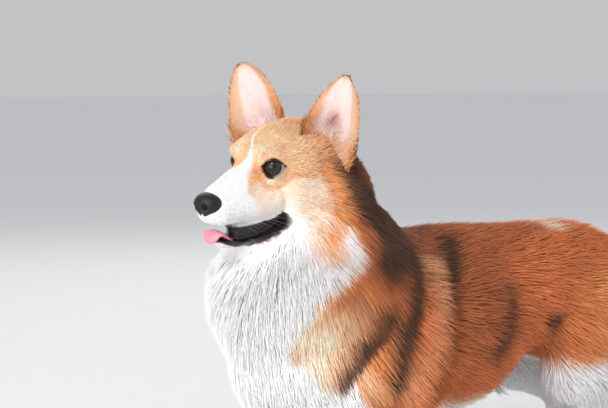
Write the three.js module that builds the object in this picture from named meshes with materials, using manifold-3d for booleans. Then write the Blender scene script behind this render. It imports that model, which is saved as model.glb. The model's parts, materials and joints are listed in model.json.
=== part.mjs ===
// A Pembroke Welsh Corgi standing with its head up and its mouth a little open, as a still model at life size.
// Each part of the body that a person would name is one closed solid. Millimetres, +Z up. The dog faces -X
// and its left side is towards -Y. The soles lie at Z = 0, and the origin is under the middle of its box.
import * as THREE from "three";
import { mergeVertices } from "three/addons/utils/BufferGeometryUtils.js";
import Module from "manifold-3d";

const wasm = await Module();
wasm.setup();

// Sizes of the dog, coat included. X is counted back from the withers, and Z up from the floor.
const gap = 0.3;
const brisketHeight = 97;
const coatDepth = 6;
const bib = { x: [-128, -98, -82], z: [240, 194, 144], radius: [88, 98, 92] };
const ribs = { at: [20, 0, 200], half: [142, 99, 103] };
const loin = { at: [160, 0, 227], half: [112, 85, 75] };
const croup = { at: [232, 0, 219], half: [98, 84, 82] };
const neckBase = [-72, 0, 240];
const neckTop = [-104, -3, 326];
const neckRadius = { base: 84, top: 60 };
const legSpread = { elbow: 64, wrist: 50, stifle: 60, hock: 54 };
const foreLegX = -80;
const foreWristHeight = 56;
const stifle = { x: 206, z: 142 };
const hock = { x: 302, z: 82 };
const tailRoot = [300, 0, 256];
const pawLength = 66;
const pawWidth = 52;
const pawHeight = 36;

// The head's own frame: U towards the nose, V to the dog's left, W up, from the point midway between the eyes.
const headAt = new THREE.Vector3(-184, -2, 377);
const headTurn = new THREE.Euler(0.094, -0.098, 0.223, "ZYX");
const skull = { half: [54, 50, 40], at: [-50, 0, 2] };
const eyeRadius = 11.5;
const eyeAt = { u: -3, v: 22, w: 2 };
const eyeOpening = { half: 11.5, arch: 17 };
const gazeOut = 0.64;
const noseAt = [66, 0, -27.5];
const noseHalf = [13.5, 15, 11.5];
const earBase = [-57, 46, 22];
const earTip = [-54, 73, 91];
const earHalfWidth = 28.5;
const earThickness = 4.5;
const earTurn = { left: { foot: 0.55, tip: -0.12 }, right: { foot: -0.42, tip: -0.36 } };

const fur = { ginger: 0xb8683a, cream: 0xe9c79c, white: 0xf1ebe8 };
const skinBlack = 0x1d1b1a;
const tonguePink = 0xe79aa6;

// Fields: each is a function of a point that is negative inside the form, near its distance in millimetres.
const ellipsoid = ([cx, cy, cz], [rx, ry, rz]) => (x, y, z) => {
  const px = (x - cx) / rx;
  const py = (y - cy) / ry;
  const pz = (z - cz) / rz;
  const reach = Math.hypot(px, py, pz);
  const slope = Math.hypot(px / rx, py / ry, pz / rz);
  return slope < 1e-9 ? -Math.min(rx, ry, rz) : (reach * (reach - 1)) / slope;
};

const limb = ([ax, ay, az], [bx, by, bz], ra, rb) => {
  const [dx, dy, dz] = [bx - ax, by - ay, bz - az];
  const lengthSquared = dx * dx + dy * dy + dz * dz;
  return (x, y, z) => {
    const along = ((x - ax) * dx + (y - ay) * dy + (z - az) * dz) / lengthSquared;
    const t = Math.min(1, Math.max(0, along));
    return Math.hypot(x - ax - t * dx, y - ay - t * dy, z - az - t * dz) - ra - t * (rb - ra);
  };
};

const softMin = (a, b, k) => {
  const h = Math.max(k - Math.abs(a - b), 0) / k;
  return Math.min(a, b) - h * h * k * 0.25;
};
const blend = (k, ...fields) => (x, y, z) => fields.reduce((d, f) => softMin(d, f(x, y, z), k), 1e4);
const bothSides = (make) => [make(-1), make(1)];

// The head's frame as a matrix, and a head form as a field of the dog's own frame.
const headFrame = new THREE.Matrix4()
  .compose(headAt, new THREE.Quaternion().setFromEuler(headTurn), new THREE.Vector3(1, 1, 1))
  .multiply(new THREE.Matrix4().makeRotationZ(Math.PI));
const headInverse = headFrame.clone().invert();
const inHead = (field) => {
  const p = new THREE.Vector3();
  return (x, y, z) => {
    p.set(x, y, z).applyMatrix4(headInverse);
    return field(p.x, p.y, p.z);
  };
};
const fromHead = (u, v, w) => new THREE.Vector3(u, v, w).applyMatrix4(headFrame);

// Head: skull, brows, cheeks, muzzle, lips, jaw and throat.
const muzzle = blend(
  9,
  limb([4, 0, -16], [62, 0, -31], 25, 14.5),
  limb([0, 0, -6], [56, 0, -21], 15, 9),
  ...bothSides((s) => limb([0, s * 17, -33], [56, s * 8, -38], 15, 11)),
);
const jaw = blend(
  8,
  limb([-20, 0, -58], [46, 0, -66], 17, 9.5),
  ...bothSides((s) => limb([-30, s * 20, -52], [36, s * 10, -65], 13, 9)),
);
const skullForm = blend(
  14,
  ellipsoid(skull.at, skull.half),
  ellipsoid([-20, 0, 8], [33, 34, 23]),
  ...bothSides((s) => ellipsoid([-48, s * 26, -26], [41, 28, 32])),
  ...bothSides((s) => ellipsoid([-74, s * 38, -32], [34, 28, 38])),
  ellipsoid([-82, 0, -30], [40, 60, 54]),
);
const brows = bothSides((s) => ellipsoid([-4, s * 21, 13], [15, 12, 8]));
const headField = blend(9, blend(12, skullForm, muzzle), jaw, ...brows);

// Trunk: the column of the bib, ribs, loin, croup, brisket, shoulders and haunches.
const bibPoint = (i) => [bib.x[i], 0, bib.z[i]];
const trunk = blend(
  24,
  limb(bibPoint(0), bibPoint(1), bib.radius[0] - coatDepth, bib.radius[1] - coatDepth),
  limb(bibPoint(1), bibPoint(2), bib.radius[1] - coatDepth, bib.radius[2] - coatDepth),
  ellipsoid(ribs.at, ribs.half),
  ellipsoid(loin.at, loin.half),
  ellipsoid(croup.at, croup.half),
  ellipsoid([-34, 0, brisketHeight + 44], [96, 58, 44]),
  ...bothSides((s) => ellipsoid([-62, s * 60, 196], [64, 40, 84])),
  ...bothSides((s) => ellipsoid([284, s * 34, 192], [44, 42, 60])),
  ellipsoid([-24, 0, 256], [86, 60, 43]),
  ellipsoid([80, 0, 246], [96, 66, 57]),
  limb([112, 0, 130], [140, 0, 115], 12, 9),
);
const neckForm = blend(
  24,
  limb(neckBase, neckTop, neckRadius.base - coatDepth, neckRadius.top - coatDepth),
  ellipsoid([-118, 0, 258], [74, 80, 62]),
);

// Legs, one pair of each.
const foreLeg = (s) =>
  blend(
    16,
    limb([foreLegX - 16, s * 62, 172], [foreLegX + 14, s * legSpread.elbow, 128], 36, 31),
    limb([foreLegX + 10, s * legSpread.elbow, 126], [foreLegX, s * legSpread.wrist, foreWristHeight], 30, 21),
    limb([foreLegX, s * legSpread.wrist, foreWristHeight], [foreLegX - 10, s * legSpread.wrist, 26], 21, 20),
  );
const hindLeg = (s) =>
  blend(
    18,
    ellipsoid([232, s * 57, 176], [74, 38, 78]),
    limb([stifle.x, s * legSpread.stifle, stifle.z], [hock.x, s * legSpread.hock, hock.z], 36, 20),
    limb([hock.x, s * legSpread.hock, hock.z], [hock.x - 12, s * legSpread.hock, 26], 20, 18),
  );

// A paw: its back is a low dome, and four toes spread a little from the front of it.
const toeSpread = [-0.36, -0.13, 0.13, 0.36];
const toeReach = [0.3, 0.42, 0.42, 0.3];
const paw = (x, y, size) =>
  blend(
    7,
    ellipsoid([x, y, pawHeight * 0.42 * size], [pawLength * 0.4 * size, pawWidth * 0.46 * size, pawHeight * 0.56 * size]),
    ...toeSpread.map((spread, i) =>
      ellipsoid(
        [x - pawLength * toeReach[i] * size, y + pawWidth * spread * size, pawHeight * 0.33 * size],
        [pawLength * 0.2 * size, pawWidth * 0.145 * size, pawHeight * 0.4 * size],
      ),
    ),
  );
const forePawX = foreLegX - 22;
const hindPawX = hock.x - 26;
const hindPawSize = 0.93;

const wholeBody = blend(
  22,
  blend(18, blend(34, trunk, neckForm), inHead(headField)),
  ...bothSides((s) => blend(12, foreLeg(s), paw(forePawX, s * legSpread.wrist, 1))),
  ...bothSides((s) => blend(12, hindLeg(s), paw(hindPawX, s * legSpread.hock, hindPawSize))),
);

// Meshing: one vertex in each cell of a grid that the surface crosses, moved onto the surface, and one pair
// of triangles across each grid edge that it crosses.
const slopeOf = (field, x, y, z) => {
  const e = 0.5;
  return [
    (field(x + e, y, z) - field(x - e, y, z)) / (2 * e),
    (field(x, y + e, z) - field(x, y - e, z)) / (2 * e),
    (field(x, y, z + e) - field(x, y, z - e)) / (2 * e),
  ];
};

// Grid lines along one axis: a start, then pairs of a spacing and the place up to which it holds.
const lines = (start, ...runs) => {
  const out = [start];
  for (let i = 0; i < runs.length; i += 2) {
    const from = out[out.length - 1];
    const count = Math.max(1, Math.round((runs[i + 1] - from) / runs[i]));
    for (let n = 1; n <= count; n++) out.push(from + ((runs[i + 1] - from) * n) / count);
  }
  return out;
};
const cellRim = 0.04;
const evenly = (low, high, cell) => low.map((l, a) => lines(l, cell, high[a]));

function meshOf(field, grid) {
  const count = grid.map((axis) => axis.length);
  const step = [1, count[0], count[0] * count[1]];
  const value = new Float64Array(count[0] * count[1] * count[2]);
  const outside = 5;
  for (let k = 0; k < count[2]; k++)
    for (let j = 0; j < count[1]; j++)
      for (let i = 0; i < count[0]; i++) {
        const rim = [i, j, k].some((n, a) => n === 0 || n === count[a] - 1);
        value[i + j * step[1] + k * step[2]] = rim ? outside : field(grid[0][i], grid[1][j], grid[2][k]);
      }
  const vertexOf = new Map();
  const positions = [];
  const corners = [0, 1, 2, 3, 4, 5, 6, 7].map((c) => [c & 1, (c >> 1) & 1, c >> 2]);
  for (let k = 0; k < count[2] - 1; k++)
    for (let j = 0; j < count[1] - 1; j++)
      for (let i = 0; i < count[0] - 1; i++) {
        const first = i + j * step[1] + k * step[2];
        const size = [i, j, k].map((n, a) => grid[a][n + 1] - grid[a][n]);
        const sum = [0, 0, 0];
        let crossings = 0;
        for (const c of corners)
          for (let a = 0; a < 3; a++) {
            if (c[a]) continue;
            const here = first + c[0] + c[1] * step[1] + c[2] * step[2];
            const [va, vb] = [value[here], value[here + step[a]]];
            if (va < 0 === vb < 0) continue;
            const point = [grid[0][i + c[0]], grid[1][j + c[1]], grid[2][k + c[2]]];
            point[a] += (size[a] * va) / (va - vb);
            point.forEach((x, n) => (sum[n] += x));
            crossings++;
          }
        if (!crossings) continue;
        let point = sum.map((x) => x / crossings);
        const off = field(...point);
        if (Math.abs(off) < Math.min(...size) * 0.5) {
          const slope = slopeOf(field, ...point);
          const steepness = Math.max(0.25, slope.reduce((s, x) => s + x * x, 0));
          point = point.map((x, n) => x - (off * slope[n]) / steepness);
        }
        const inCell = (x, a, n) =>
          Math.min(grid[a][n + 1] - cellRim * size[a], Math.max(grid[a][n] + cellRim * size[a], x));
        vertexOf.set(first, positions.length / 3);
        positions.push(inCell(point[0], 0, i), inCell(point[1], 1, j), inCell(point[2], 2, k));
      }
  const index = [];
  const apart = (a, b) => Math.hypot(...[0, 1, 2].map((n) => positions[3 * a + n] - positions[3 * b + n]));
  for (let k = 0; k < count[2] - 1; k++)
    for (let j = 0; j < count[1] - 1; j++)
      for (let i = 0; i < count[0] - 1; i++) {
        const first = i + j * step[1] + k * step[2];
        for (let a = 0; a < 3; a++) {
          if ([i, j, k].some((n, other) => other !== a && n === 0)) continue;
          const inside = value[first] < 0;
          if (inside === value[first + step[a]] < 0) continue;
          const [b, c] = [step[(a + 1) % 3], step[(a + 2) % 3]];
          const ring = [first - b - c, first - c, first, first - b].map((n) => vertexOf.get(n));
          if (!inside) ring.reverse();
          const [p, q, r, s] = ring;
          if (apart(p, r) < apart(q, s)) index.push(p, q, r, p, r, s);
          else index.push(p, q, s, q, r, s);
        }
      }
  return new THREE.BufferGeometry()
    .setAttribute("position", new THREE.Float32BufferAttribute(positions, 3))
    .setIndex(index);
}

// Solids: geometries joined and cut.
function solidOf(geometry) {
  const bare = geometry.clone();
  for (const name of Object.keys(bare.attributes)) if (name !== "position") bare.deleteAttribute(name);
  const merged = mergeVertices(bare, 1e-4);
  return new wasm.Manifold(
    new wasm.Mesh({
      numProp: 3,
      vertProperties: new Float32Array(merged.attributes.position.array),
      triVerts: new Uint32Array(merged.index.array),
    }),
  );
}

function geometryOf(solid) {
  const mesh = solid.getMesh();
  return new THREE.BufferGeometry()
    .setAttribute("position", new THREE.BufferAttribute(new Float32Array(mesh.vertProperties), 3))
    .setIndex(new THREE.BufferAttribute(new Uint32Array(mesh.triVerts), 1));
}

const largest = (solid) => solid.decompose().reduce((a, b) => (b.volume() > a.volume() ? b : a));

// Keeps what lies on the side of a plane that its normal points to, half a gap from the plane.
const keepSide = (solid, point, normal) => {
  const n = new THREE.Vector3(...normal).normalize();
  return solid.trimByPlane(n.toArray(), n.dot(new THREE.Vector3(...point)) + gap / 2);
};

// A tube of flat or round section along a path, closed at both ends. section(t) gives its half width and half
// thickness, and facing is the side that its flat face turns to.
function tubeOf(path, facing, section, sides) {
  const positions = [];
  const index = [];
  const rings = path.length - 1;
  path.forEach((point, i) => {
    const before = path[Math.max(0, i - 1)];
    const after = path[Math.min(rings, i + 1)];
    const forward = after.clone().sub(before).normalize();
    const across = new THREE.Vector3().crossVectors(facing[i], forward).normalize();
    const up = new THREE.Vector3().crossVectors(forward, across);
    const { width, thickness } = section(i / rings);
    if (i === rings) {
      positions.push(...point.toArray());
      return;
    }
    for (let s = 0; s < sides; s++) {
      const angle = (2 * Math.PI * s) / sides + Math.PI / 2;
      const corner = point
        .clone()
        .addScaledVector(across, width * Math.cos(angle))
        .addScaledVector(up, thickness * Math.sin(angle));
      positions.push(...corner.toArray());
    }
  });
  for (let i = 0; i < rings - 1; i++)
    for (let s = 0; s < sides; s++) {
      const next = (s + 1) % sides;
      const [a, b, c, d] = [i * sides + s, i * sides + next, (i + 1) * sides + next, (i + 1) * sides + s];
      index.push(a, b, c, a, c, d);
    }
  const tip = rings * sides;
  for (let s = 0; s < sides; s++) index.push(tip - sides + s, tip - sides + ((s + 1) % sides), tip);
  for (let s = 1; s < sides - 1; s++) index.push(0, s + 1, s);
  return new THREE.BufferGeometry()
    .setAttribute("position", new THREE.Float32BufferAttribute(positions, 3))
    .setIndex(index);
}

// Locks of the long coat. Each starts sunk in the surface, lies back along it, and rises to its tip.
const lock = { sunk: 6, rise: 8, thickness: 4, rings: 3, extra: 0.4 };
let seed = 12;
const draw = () => {
  seed = (seed * 16807) % 2147483647;
  return seed / 2147483647;
};
const vary = (share) => 1 + share * (2 * draw() - 1);

// The point where a ray from inside the body leaves it.
function surfaceAlong(origin, direction, reach = 220) {
  let near = 0;
  let far = reach;
  for (let i = 0; i < 24; i++) {
    const middle = (near + far) / 2;
    const p = origin.clone().addScaledVector(direction, middle);
    if (wholeBody(p.x, p.y, p.z) < 0) near = middle;
    else far = middle;
  }
  return origin.clone().addScaledVector(direction, near);
}

// The path of one lock over the surface from its root, and the way that the surface faces along it.
function lockPath(root, lie, length, rise) {
  const path = [];
  const facing = [];
  const spot = root.clone();
  for (let i = 0; i <= lock.rings; i++) {
    const t = i / lock.rings;
    const slope = new THREE.Vector3(...slopeOf(wholeBody, spot.x, spot.y, spot.z)).normalize();
    const height = -lock.sunk + (lock.sunk + rise) * Math.pow(t, 0.6);
    const off = wholeBody(spot.x, spot.y, spot.z);
    path.push(spot.clone().addScaledVector(slope, height - off));
    facing.push(slope);
    const along = lie.clone().addScaledVector(slope, -lie.dot(slope)).normalize();
    spot.addScaledVector(slope, -off).addScaledVector(along, length / lock.rings);
  }
  return { path, facing };
}

// A lock's section is a low triangle. Its room grows more in width than in height, as its edges are sharp.
const lockSection = (width, swell) => (t) => ({
  width: (width / 1.73) * Math.pow(1 - t, 0.55) + 8 * swell,
  thickness: (lock.thickness / 2) * (1 - 0.5 * t) + 2 * swell,
});

// The locks of one patch: places given as a ray from inside and the way that the hair lies there.
function locksOf(places) {
  const made = places.map(({ origin, direction, lie, length, width, rise = lock.rise }) => ({
    ...lockPath(surfaceAlong(origin, direction), lie, length * vary(0.16), rise * vary(0.25)),
    width: width * vary(0.12),
  }));
  const solids = (swell) =>
    made.map(({ path, facing, width }) => solidOf(tubeOf(path, facing, lockSection(width, swell), 3)));
  return { plain: solids(0), room: wasm.Manifold.union(solids(lock.extra)) };
}

const fused = (core, solids) => largest(wasm.Manifold.union([core, ...solids]));

const degrees = (d) => (d * Math.PI) / 180;
const spread = (from, to, count) =>
  Array.from({ length: count }, (_, i) => from + ((to - from) * i) / (count - 1));

// Whole pieces of the body, each meshed with the cells that its forms need, before the cuts between them.
const faceGrid = [
  lines(-278, 7.3, -178, 16, -60),
  lines(-112, 15, -64, 8.4, 30, 11, 50, 16, 98),
  lines(276, 7.8, 396, 12, 440),
];
const headWhole = solidOf(meshOf(wholeBody, faceGrid));
const grown = (amount, grid) => solidOf(meshOf((x, y, z) => wholeBody(x, y, z) - amount, grid));
const crownGrid = evenly([-205, -100, 330], [-60, 95, 440], 9);
const headGrown = grown(gap + 0.6, crownGrid);

// Places of the cuts. The head ends behind the ears and under the jaw, and the neck at the shoulders.
const acrossHead = 90;
const sideOn = (shape, curveSegments) =>
  new THREE.ExtrudeGeometry(shape, { depth: 2 * acrossHead, bevelEnabled: false, curveSegments })
    .rotateX(Math.PI / 2)
    .translate(0, acrossHead, 0)
    .applyMatrix4(headFrame);
const headOutline = (swell) => {
  const shape = new THREE.Shape();
  shape.moveTo(-124 - swell, 110);
  shape.lineTo(-66 - swell, -36 - swell);
  shape.quadraticCurveTo(-50, -82 - swell, 10, -84 - swell);
  shape.lineTo(110, -80 - swell);
  shape.lineTo(110, 110);
  return shape;
};
const headBlock = solidOf(sideOn(headOutline(0), 4));
const headRoom = solidOf(sideOn(headOutline(gap), 4));
const neckCut = { point: [-90, 0, 252], normal: [-0.475, 0, 0.88] };
const chestEnd = 14;
const rumpStart = 142;
const turned = (normal) => normal.map((n) => -n);

// Head and its pieces, in the head's own frame where they are its alone.
const toHead = (geometry) => geometry.applyMatrix4(headInverse);
const placed = (geometry) => geometry.clone().applyMatrix4(headFrame);

const noseField = blend(4, ellipsoid(noseAt, noseHalf), limb([68, 0, -35], [65.5, 0, -41.5], 6.5, 3.5));
const noseGrid = [lines(48, 5, 66, 4.3, 84), lines(-19.5, 4.3, 19.5), lines(-52, 4.5, -12)];
const noseWhole = solidOf(placed(meshOf(noseField, noseGrid)));
const noseGrown = solidOf(placed(meshOf((u, v, w) => noseField(u, v, w) - gap - 0.2, noseGrid)));
// Each nostril is a round hole with a slit that curls out and back from it.
const nostril = (s) => {
  const path = [
    new THREE.Vector3(73, s * 4, -28),
    new THREE.Vector3(79.5, s * 5.5, -27.5),
    new THREE.Vector3(78.5, s * 9.5, -29.5),
    new THREE.Vector3(73.5, s * 14, -31),
    new THREE.Vector3(69, s * 17, -30.5),
  ];
  const facing = path.map(() => new THREE.Vector3(0, 0, 1));
  return solidOf(placed(tubeOf(path, facing, (t) => ({ width: 3.4 - 2 * t, thickness: 2.6 - 1.7 * t }), 6)));
};
const nose = largest(noseWhole.subtract(nostril(-1)).subtract(nostril(1)));

// The mouth seen from the side: the upper lip's line, then back along the lower lip. A filling keeps the
// cheeks behind the lips, and a round hollow over the tongue is the palate.
const mouthOutline = new THREE.Shape();
mouthOutline.moveTo(92, -45);
mouthOutline.lineTo(66, -47.5);
mouthOutline.bezierCurveTo(58, -54, 46, -57.5, 30, -56);
mouthOutline.bezierCurveTo(16, -55, 6, -49.5, -1, -43.5);
mouthOutline.bezierCurveTo(-6, -41, -10, -44.5, -7, -50);
mouthOutline.bezierCurveTo(2, -60, 16, -66.5, 34, -68.3);
mouthOutline.lineTo(50, -67);
mouthOutline.lineTo(92, -62);
const mouthFill = new THREE.Shape();
mouthFill.moveTo(-40, -25);
mouthFill.quadraticCurveTo(4, -24, 34, -8);
mouthFill.quadraticCurveTo(44, 0, 34, 8);
mouthFill.quadraticCurveTo(4, 24, -40, 25);
const fillDepth = 60;
const mouthMiddle = new THREE.ExtrudeGeometry(mouthFill, { depth: fillDepth, bevelEnabled: false, curveSegments: 6 })
  .translate(0, 0, -28 - fillDepth);
const palate = new THREE.SphereGeometry(1, 8, 5).scale(17, 10, 7.5).translate(46, 0, -53);
const mouthOpening = solidOf(sideOn(mouthOutline, 5))
  .subtract(solidOf(placed(mouthMiddle)))
  .add(solidOf(placed(palate)));

// An eye is a ball behind two lids, which open as an almond on the way that it looks.
const eyeParts = (s) => {
  const centre = fromHead(eyeAt.u, s * eyeAt.v, eyeAt.w);
  const look = new THREE.Vector3(Math.cos(gazeOut), s * Math.sin(gazeOut), 0.04).transformDirection(headFrame);
  const up = new THREE.Vector3(0, 0, 1).transformDirection(headFrame);
  const side = new THREE.Vector3().crossVectors(up, look).normalize();
  up.crossVectors(look, side);
  const almond = new THREE.Shape();
  const { half, arch } = eyeOpening;
  almond.moveTo(-half, -1);
  almond.quadraticCurveTo(0, arch, half, -1);
  almond.quadraticCurveTo(0, -arch, -half, -1);
  const stand = (geometry) =>
    solidOf(geometry.applyMatrix4(new THREE.Matrix4().makeBasis(side, up, look).setPosition(centre)));
  const ball = (radius) => stand(new THREE.SphereGeometry(radius, 12, 9).rotateX(Math.PI / 2));
  return {
    ball: ball(eyeRadius),
    socket: ball(eyeRadius + gap + 0.1),
    lids: ball(eyeRadius + 2.4),
    opening: stand(new THREE.ExtrudeGeometry(almond, { depth: 40, bevelEnabled: false, curveSegments: 6 })),
  };
};
const eyes = { left: eyeParts(1), right: eyeParts(-1) };

// The lower jaw leaves the head along a step behind the corner of the mouth.
const jawOutline = (swell) => {
  const shape = new THREE.Shape();
  shape.moveTo(-5 - swell, -47 + swell);
  shape.lineTo(8, -57.5 + swell);
  shape.lineTo(34, -62.5 + swell);
  shape.lineTo(92, -57 + swell);
  shape.lineTo(92, -100);
  shape.lineTo(14, -100);
  shape.quadraticCurveTo(-24 - swell, -84, -22 - swell, -68);
  return shape;
};
const jawInner = solidOf(sideOn(jawOutline(0), 3));
const jawOuter = solidOf(sideOn(jawOutline(gap), 3));

// The tongue lies on the jaw behind the lower lip and hangs a little over it.
const tonguePath = new THREE.CatmullRomCurve3([
  new THREE.Vector3(36, 0, -63),
  new THREE.Vector3(50, 0, -61),
  new THREE.Vector3(61, 0, -59),
  new THREE.Vector3(67, 0, -66),
]);
const tongueSteps = 7;
const tongueGeometry = (swell) =>
  placed(
    tubeOf(
      tonguePath.getPoints(tongueSteps),
      Array.from({ length: tongueSteps + 1 }, (_, i) => new THREE.Vector3(i / tongueSteps, 0, 1).normalize()),
      (t) => ({ width: 11.5 * Math.sqrt(1 - t * t * t) + swell, thickness: 2.6 - t + swell }),
      8,
    ),
  );

const cheekTufts = (s) =>
  [
    [-44, -40],
    [-52, -18],
    [-60, 2],
  ].map(([u, w]) => ({
    origin: fromHead(u - 26, 0, w - 14),
    direction: new THREE.Vector3(0.25, s, 0).transformDirection(headFrame),
    lie: new THREE.Vector3(-1, 0, -0.75).transformDirection(headFrame),
    length: 36,
    width: 24,
    rise: 6,
  }));
const cheeks = locksOf([...cheekTufts(1), ...cheekTufts(-1)]);

const headOpenings = wasm.Manifold.union([
  noseWhole,
  noseGrown,
  mouthOpening,
  ...Object.values(eyes).flatMap((eye) => [eye.socket, eye.opening]),
]);
const headSolid = wasm.Manifold.union([headWhole, ...Object.values(eyes).map((eye) => eye.lids)])
  .intersect(headBlock)
  .subtract(headOpenings);
const tongueRoom = solidOf(tongueGeometry(gap));
const upperHead = fused(headSolid, cheeks.plain).subtract(jawOuter).subtract(tongueRoom);
const lowerJaw = headSolid.intersect(jawInner).subtract(tongueRoom);

// An ear is a leaf, cupped to the front, round at its tip, whose foot is sunk in the head.
function earGeometry(s, turn) {
  const rings = 8;
  const steps = 6;
  const foot = -0.34;
  const base = new THREE.Vector3(...earBase);
  const tip = new THREE.Vector3(...earTip);
  const axis = tip.clone().sub(base);
  const positions = [];
  const index = [];
  const around = 2 * (steps + 1);
  for (let i = 0; i < rings; i++) {
    const t = foot + (1 - foot) * Math.pow(i / rings, 0.85);
    const width = earHalfWidth * Math.pow(1 - Math.pow(Math.max(t, 0), 2.3), 0.62);
    const faces = turn.foot + (turn.tip - turn.foot) * Math.max(t, 0);
    const open = new THREE.Vector3(Math.cos(faces), Math.sin(faces), 0.06).normalize();
    const across = new THREE.Vector3().crossVectors(axis, open).normalize();
    const cup = 15 * (1 - Math.max(t, 0)) + 4;
    const centre = base.clone().addScaledVector(axis, t);
    const layer = (depth) =>
      Array.from({ length: steps + 1 }, (_, n) => {
        const a = (2 * n) / steps - 1;
        return centre
          .clone()
          .addScaledVector(across, a * (width - depth * Math.abs(a) * 0.4))
          .addScaledVector(open, cup * a * a - cup * 0.5 + depth * (1 - a * a * 0.6));
      });
    const ring = [...layer(0), ...layer(earThickness * (1 - 0.45 * Math.max(t, 0))).reverse()];
    ring.forEach((p) => positions.push(p.x, s * p.y, p.z));
  }
  for (let i = 0; i < rings - 1; i++)
    for (let n = 0; n < around; n++) {
      const next = (n + 1) % around;
      const [a, b, c, d] = [i * around + n, i * around + next, (i + 1) * around + next, (i + 1) * around + n];
      index.push(a, b, c, a, c, d);
    }
  const last = (rings - 1) * around;
  positions.push(tip.x, s * tip.y, tip.z);
  for (let n = 0; n < around; n++) index.push(last + n, last + ((n + 1) % around), rings * around);
  for (let n = 0; n < steps; n++) index.push(n, around - 2 - n, n + 1, n, around - 1 - n, around - 2 - n);
  if (s > 0) index.reverse();
  return new THREE.BufferGeometry()
    .setAttribute("position", new THREE.Float32BufferAttribute(positions, 3))
    .setIndex(index);
}

// Lock places on the neck, the bib, the belly, the haunches and the backs of the forelegs.
const neckAxis = new THREE.Vector3(...neckTop).sub(new THREE.Vector3(...neckBase)).normalize();
const neckSide = new THREE.Vector3(0, 1, 0);
const neckBack = new THREE.Vector3().crossVectors(neckSide, neckAxis).normalize();
const neckPoint = (t) => new THREE.Vector3(...neckBase).lerp(new THREE.Vector3(...neckTop), t);
const ruffRows = [
  { at: 0.8, angles: spread(66, 294, 11), length: 50, width: 36 },
  { at: 0.38, angles: spread(28, 332, 13), length: 52, width: 42 },
];
const ruff = locksOf(
  ruffRows.flatMap(({ at, angles, length, width }) =>
    angles.map((angle) => ({
      origin: neckPoint(at),
      direction: neckBack
        .clone()
        .multiplyScalar(Math.cos(degrees(angle)))
        .addScaledVector(neckSide, Math.sin(degrees(angle))),
      lie: neckAxis.clone().negate().add(new THREE.Vector3(0, 0, -0.35)),
      length,
      width,
    })),
  ),
);
const bibRows = [
  { z: 206, reach: 82, count: 7 },
  { z: 172, reach: 74, count: 7 },
  { z: 138, reach: 58, count: 5 },
];
const bibLocks = locksOf(
  bibRows.flatMap(({ z, reach, count }) =>
    spread(-reach, reach, count).map((angle) => ({
      origin: new THREE.Vector3(bib.x[1], 0, z),
      direction: new THREE.Vector3(-Math.cos(degrees(angle)), Math.sin(degrees(angle)), 0),
      lie: new THREE.Vector3(0.25, 0, -1),
      length: 46,
      width: 36,
    })),
  ),
);
const bellyLocks = locksOf(
  [-1, 1].flatMap((s) =>
    spread(34, 120, 4).map((x) => ({
      origin: new THREE.Vector3(x, 0, ribs.at[2]),
      direction: new THREE.Vector3(0, s * 0.42, -0.9).normalize(),
      lie: new THREE.Vector3(1, 0, -0.2),
      length: 42,
      width: 30,
    })),
  ),
);
const seatLocks = locksOf(
  spread(-0.8, 0.8, 4).map((side) => ({
    origin: new THREE.Vector3(250, 0, 232),
    direction: new THREE.Vector3(1, side, -0.1).normalize(),
    lie: new THREE.Vector3(0.3, 0, -1),
    length: 44,
    width: 34,
  })),
);
const britches = (s) =>
  locksOf(
    spread(196, 130, 3).flatMap((z, row) =>
      [0.1, 0.7].map((side) => ({
        origin: new THREE.Vector3(250, s * legSpread.stifle * 0.85, z),
        direction: new THREE.Vector3(1, s * side, 0).normalize(),
        lie: new THREE.Vector3(0.4, 0, -1),
        length: 40 - 3 * row,
        width: 27,
      })),
    ),
  );
const feathers = (s) =>
  locksOf(
    [120, 98, 78].map((z) => ({
      origin: new THREE.Vector3(foreLegX, s * (legSpread.wrist + (z - foreWristHeight) * 0.18), z),
      direction: new THREE.Vector3(1, 0, 0),
      lie: new THREE.Vector3(0.5, 0, -1),
      length: 28,
      width: 20,
      rise: 7,
    })),
  );

// Legs part from the trunk along an arch over the elbow and over the hip, and inside along a level plane.
const archway = ({ front, foot, back, heel, top, rise }, inner, s, swell) => {
  const middle = (front + back) / 2;
  const shape = new THREE.Shape();
  shape.moveTo(foot, -30);
  shape.lineTo(foot, top - 60);
  shape.lineTo(front - swell, top - 30);
  shape.lineTo(front - swell, top);
  shape.absellipse(middle, top, (back - front) / 2 + swell, rise + swell, Math.PI, 0, true);
  shape.lineTo(back + swell, top - 30);
  shape.lineTo(heel, top - 60);
  shape.lineTo(heel, -30);
  const depth = 120;
  const side = s < 0 ? swell - inner : inner - swell + depth;
  return solidOf(
    new THREE.ExtrudeGeometry(shape, { depth, bevelEnabled: false, curveSegments: 10 })
      .rotateX(Math.PI / 2)
      .translate(0, side, 0),
  );
};
const foreArch = { front: -128, foot: -156, back: -24, heel: -24, top: 120, rise: 38 };
const hindArch = { front: 146, foot: 146, back: 352, heel: 352, top: 150, rise: 62 };
const foreBlock = (s, swell = 0) => archway(foreArch, 22, s, swell);
const hindBlock = (s, swell = 0) => archway(hindArch, 24, s, swell);
const allBlocks = wasm.Manifold.union([-1, 1].flatMap((s) => [foreBlock(s, gap), hindBlock(s, gap)]));

const above = (solid, level) => keepSide(solid, [0, 0, level], [0, 0, 1]);
const below = (solid, level) => keepSide(solid, [0, 0, level], [0, 0, -1]);
const levels = { wrist: 50, hock: 112, pastern: 44 };
const legPiece = (s, x0, x1, low, high, cell, block) => {
  const [near, far] = s < 0 ? [-130, -6] : [6, 130];
  return solidOf(meshOf(wholeBody, evenly([x0, near, low], [x1, far, high], cell))).intersect(block);
};

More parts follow.
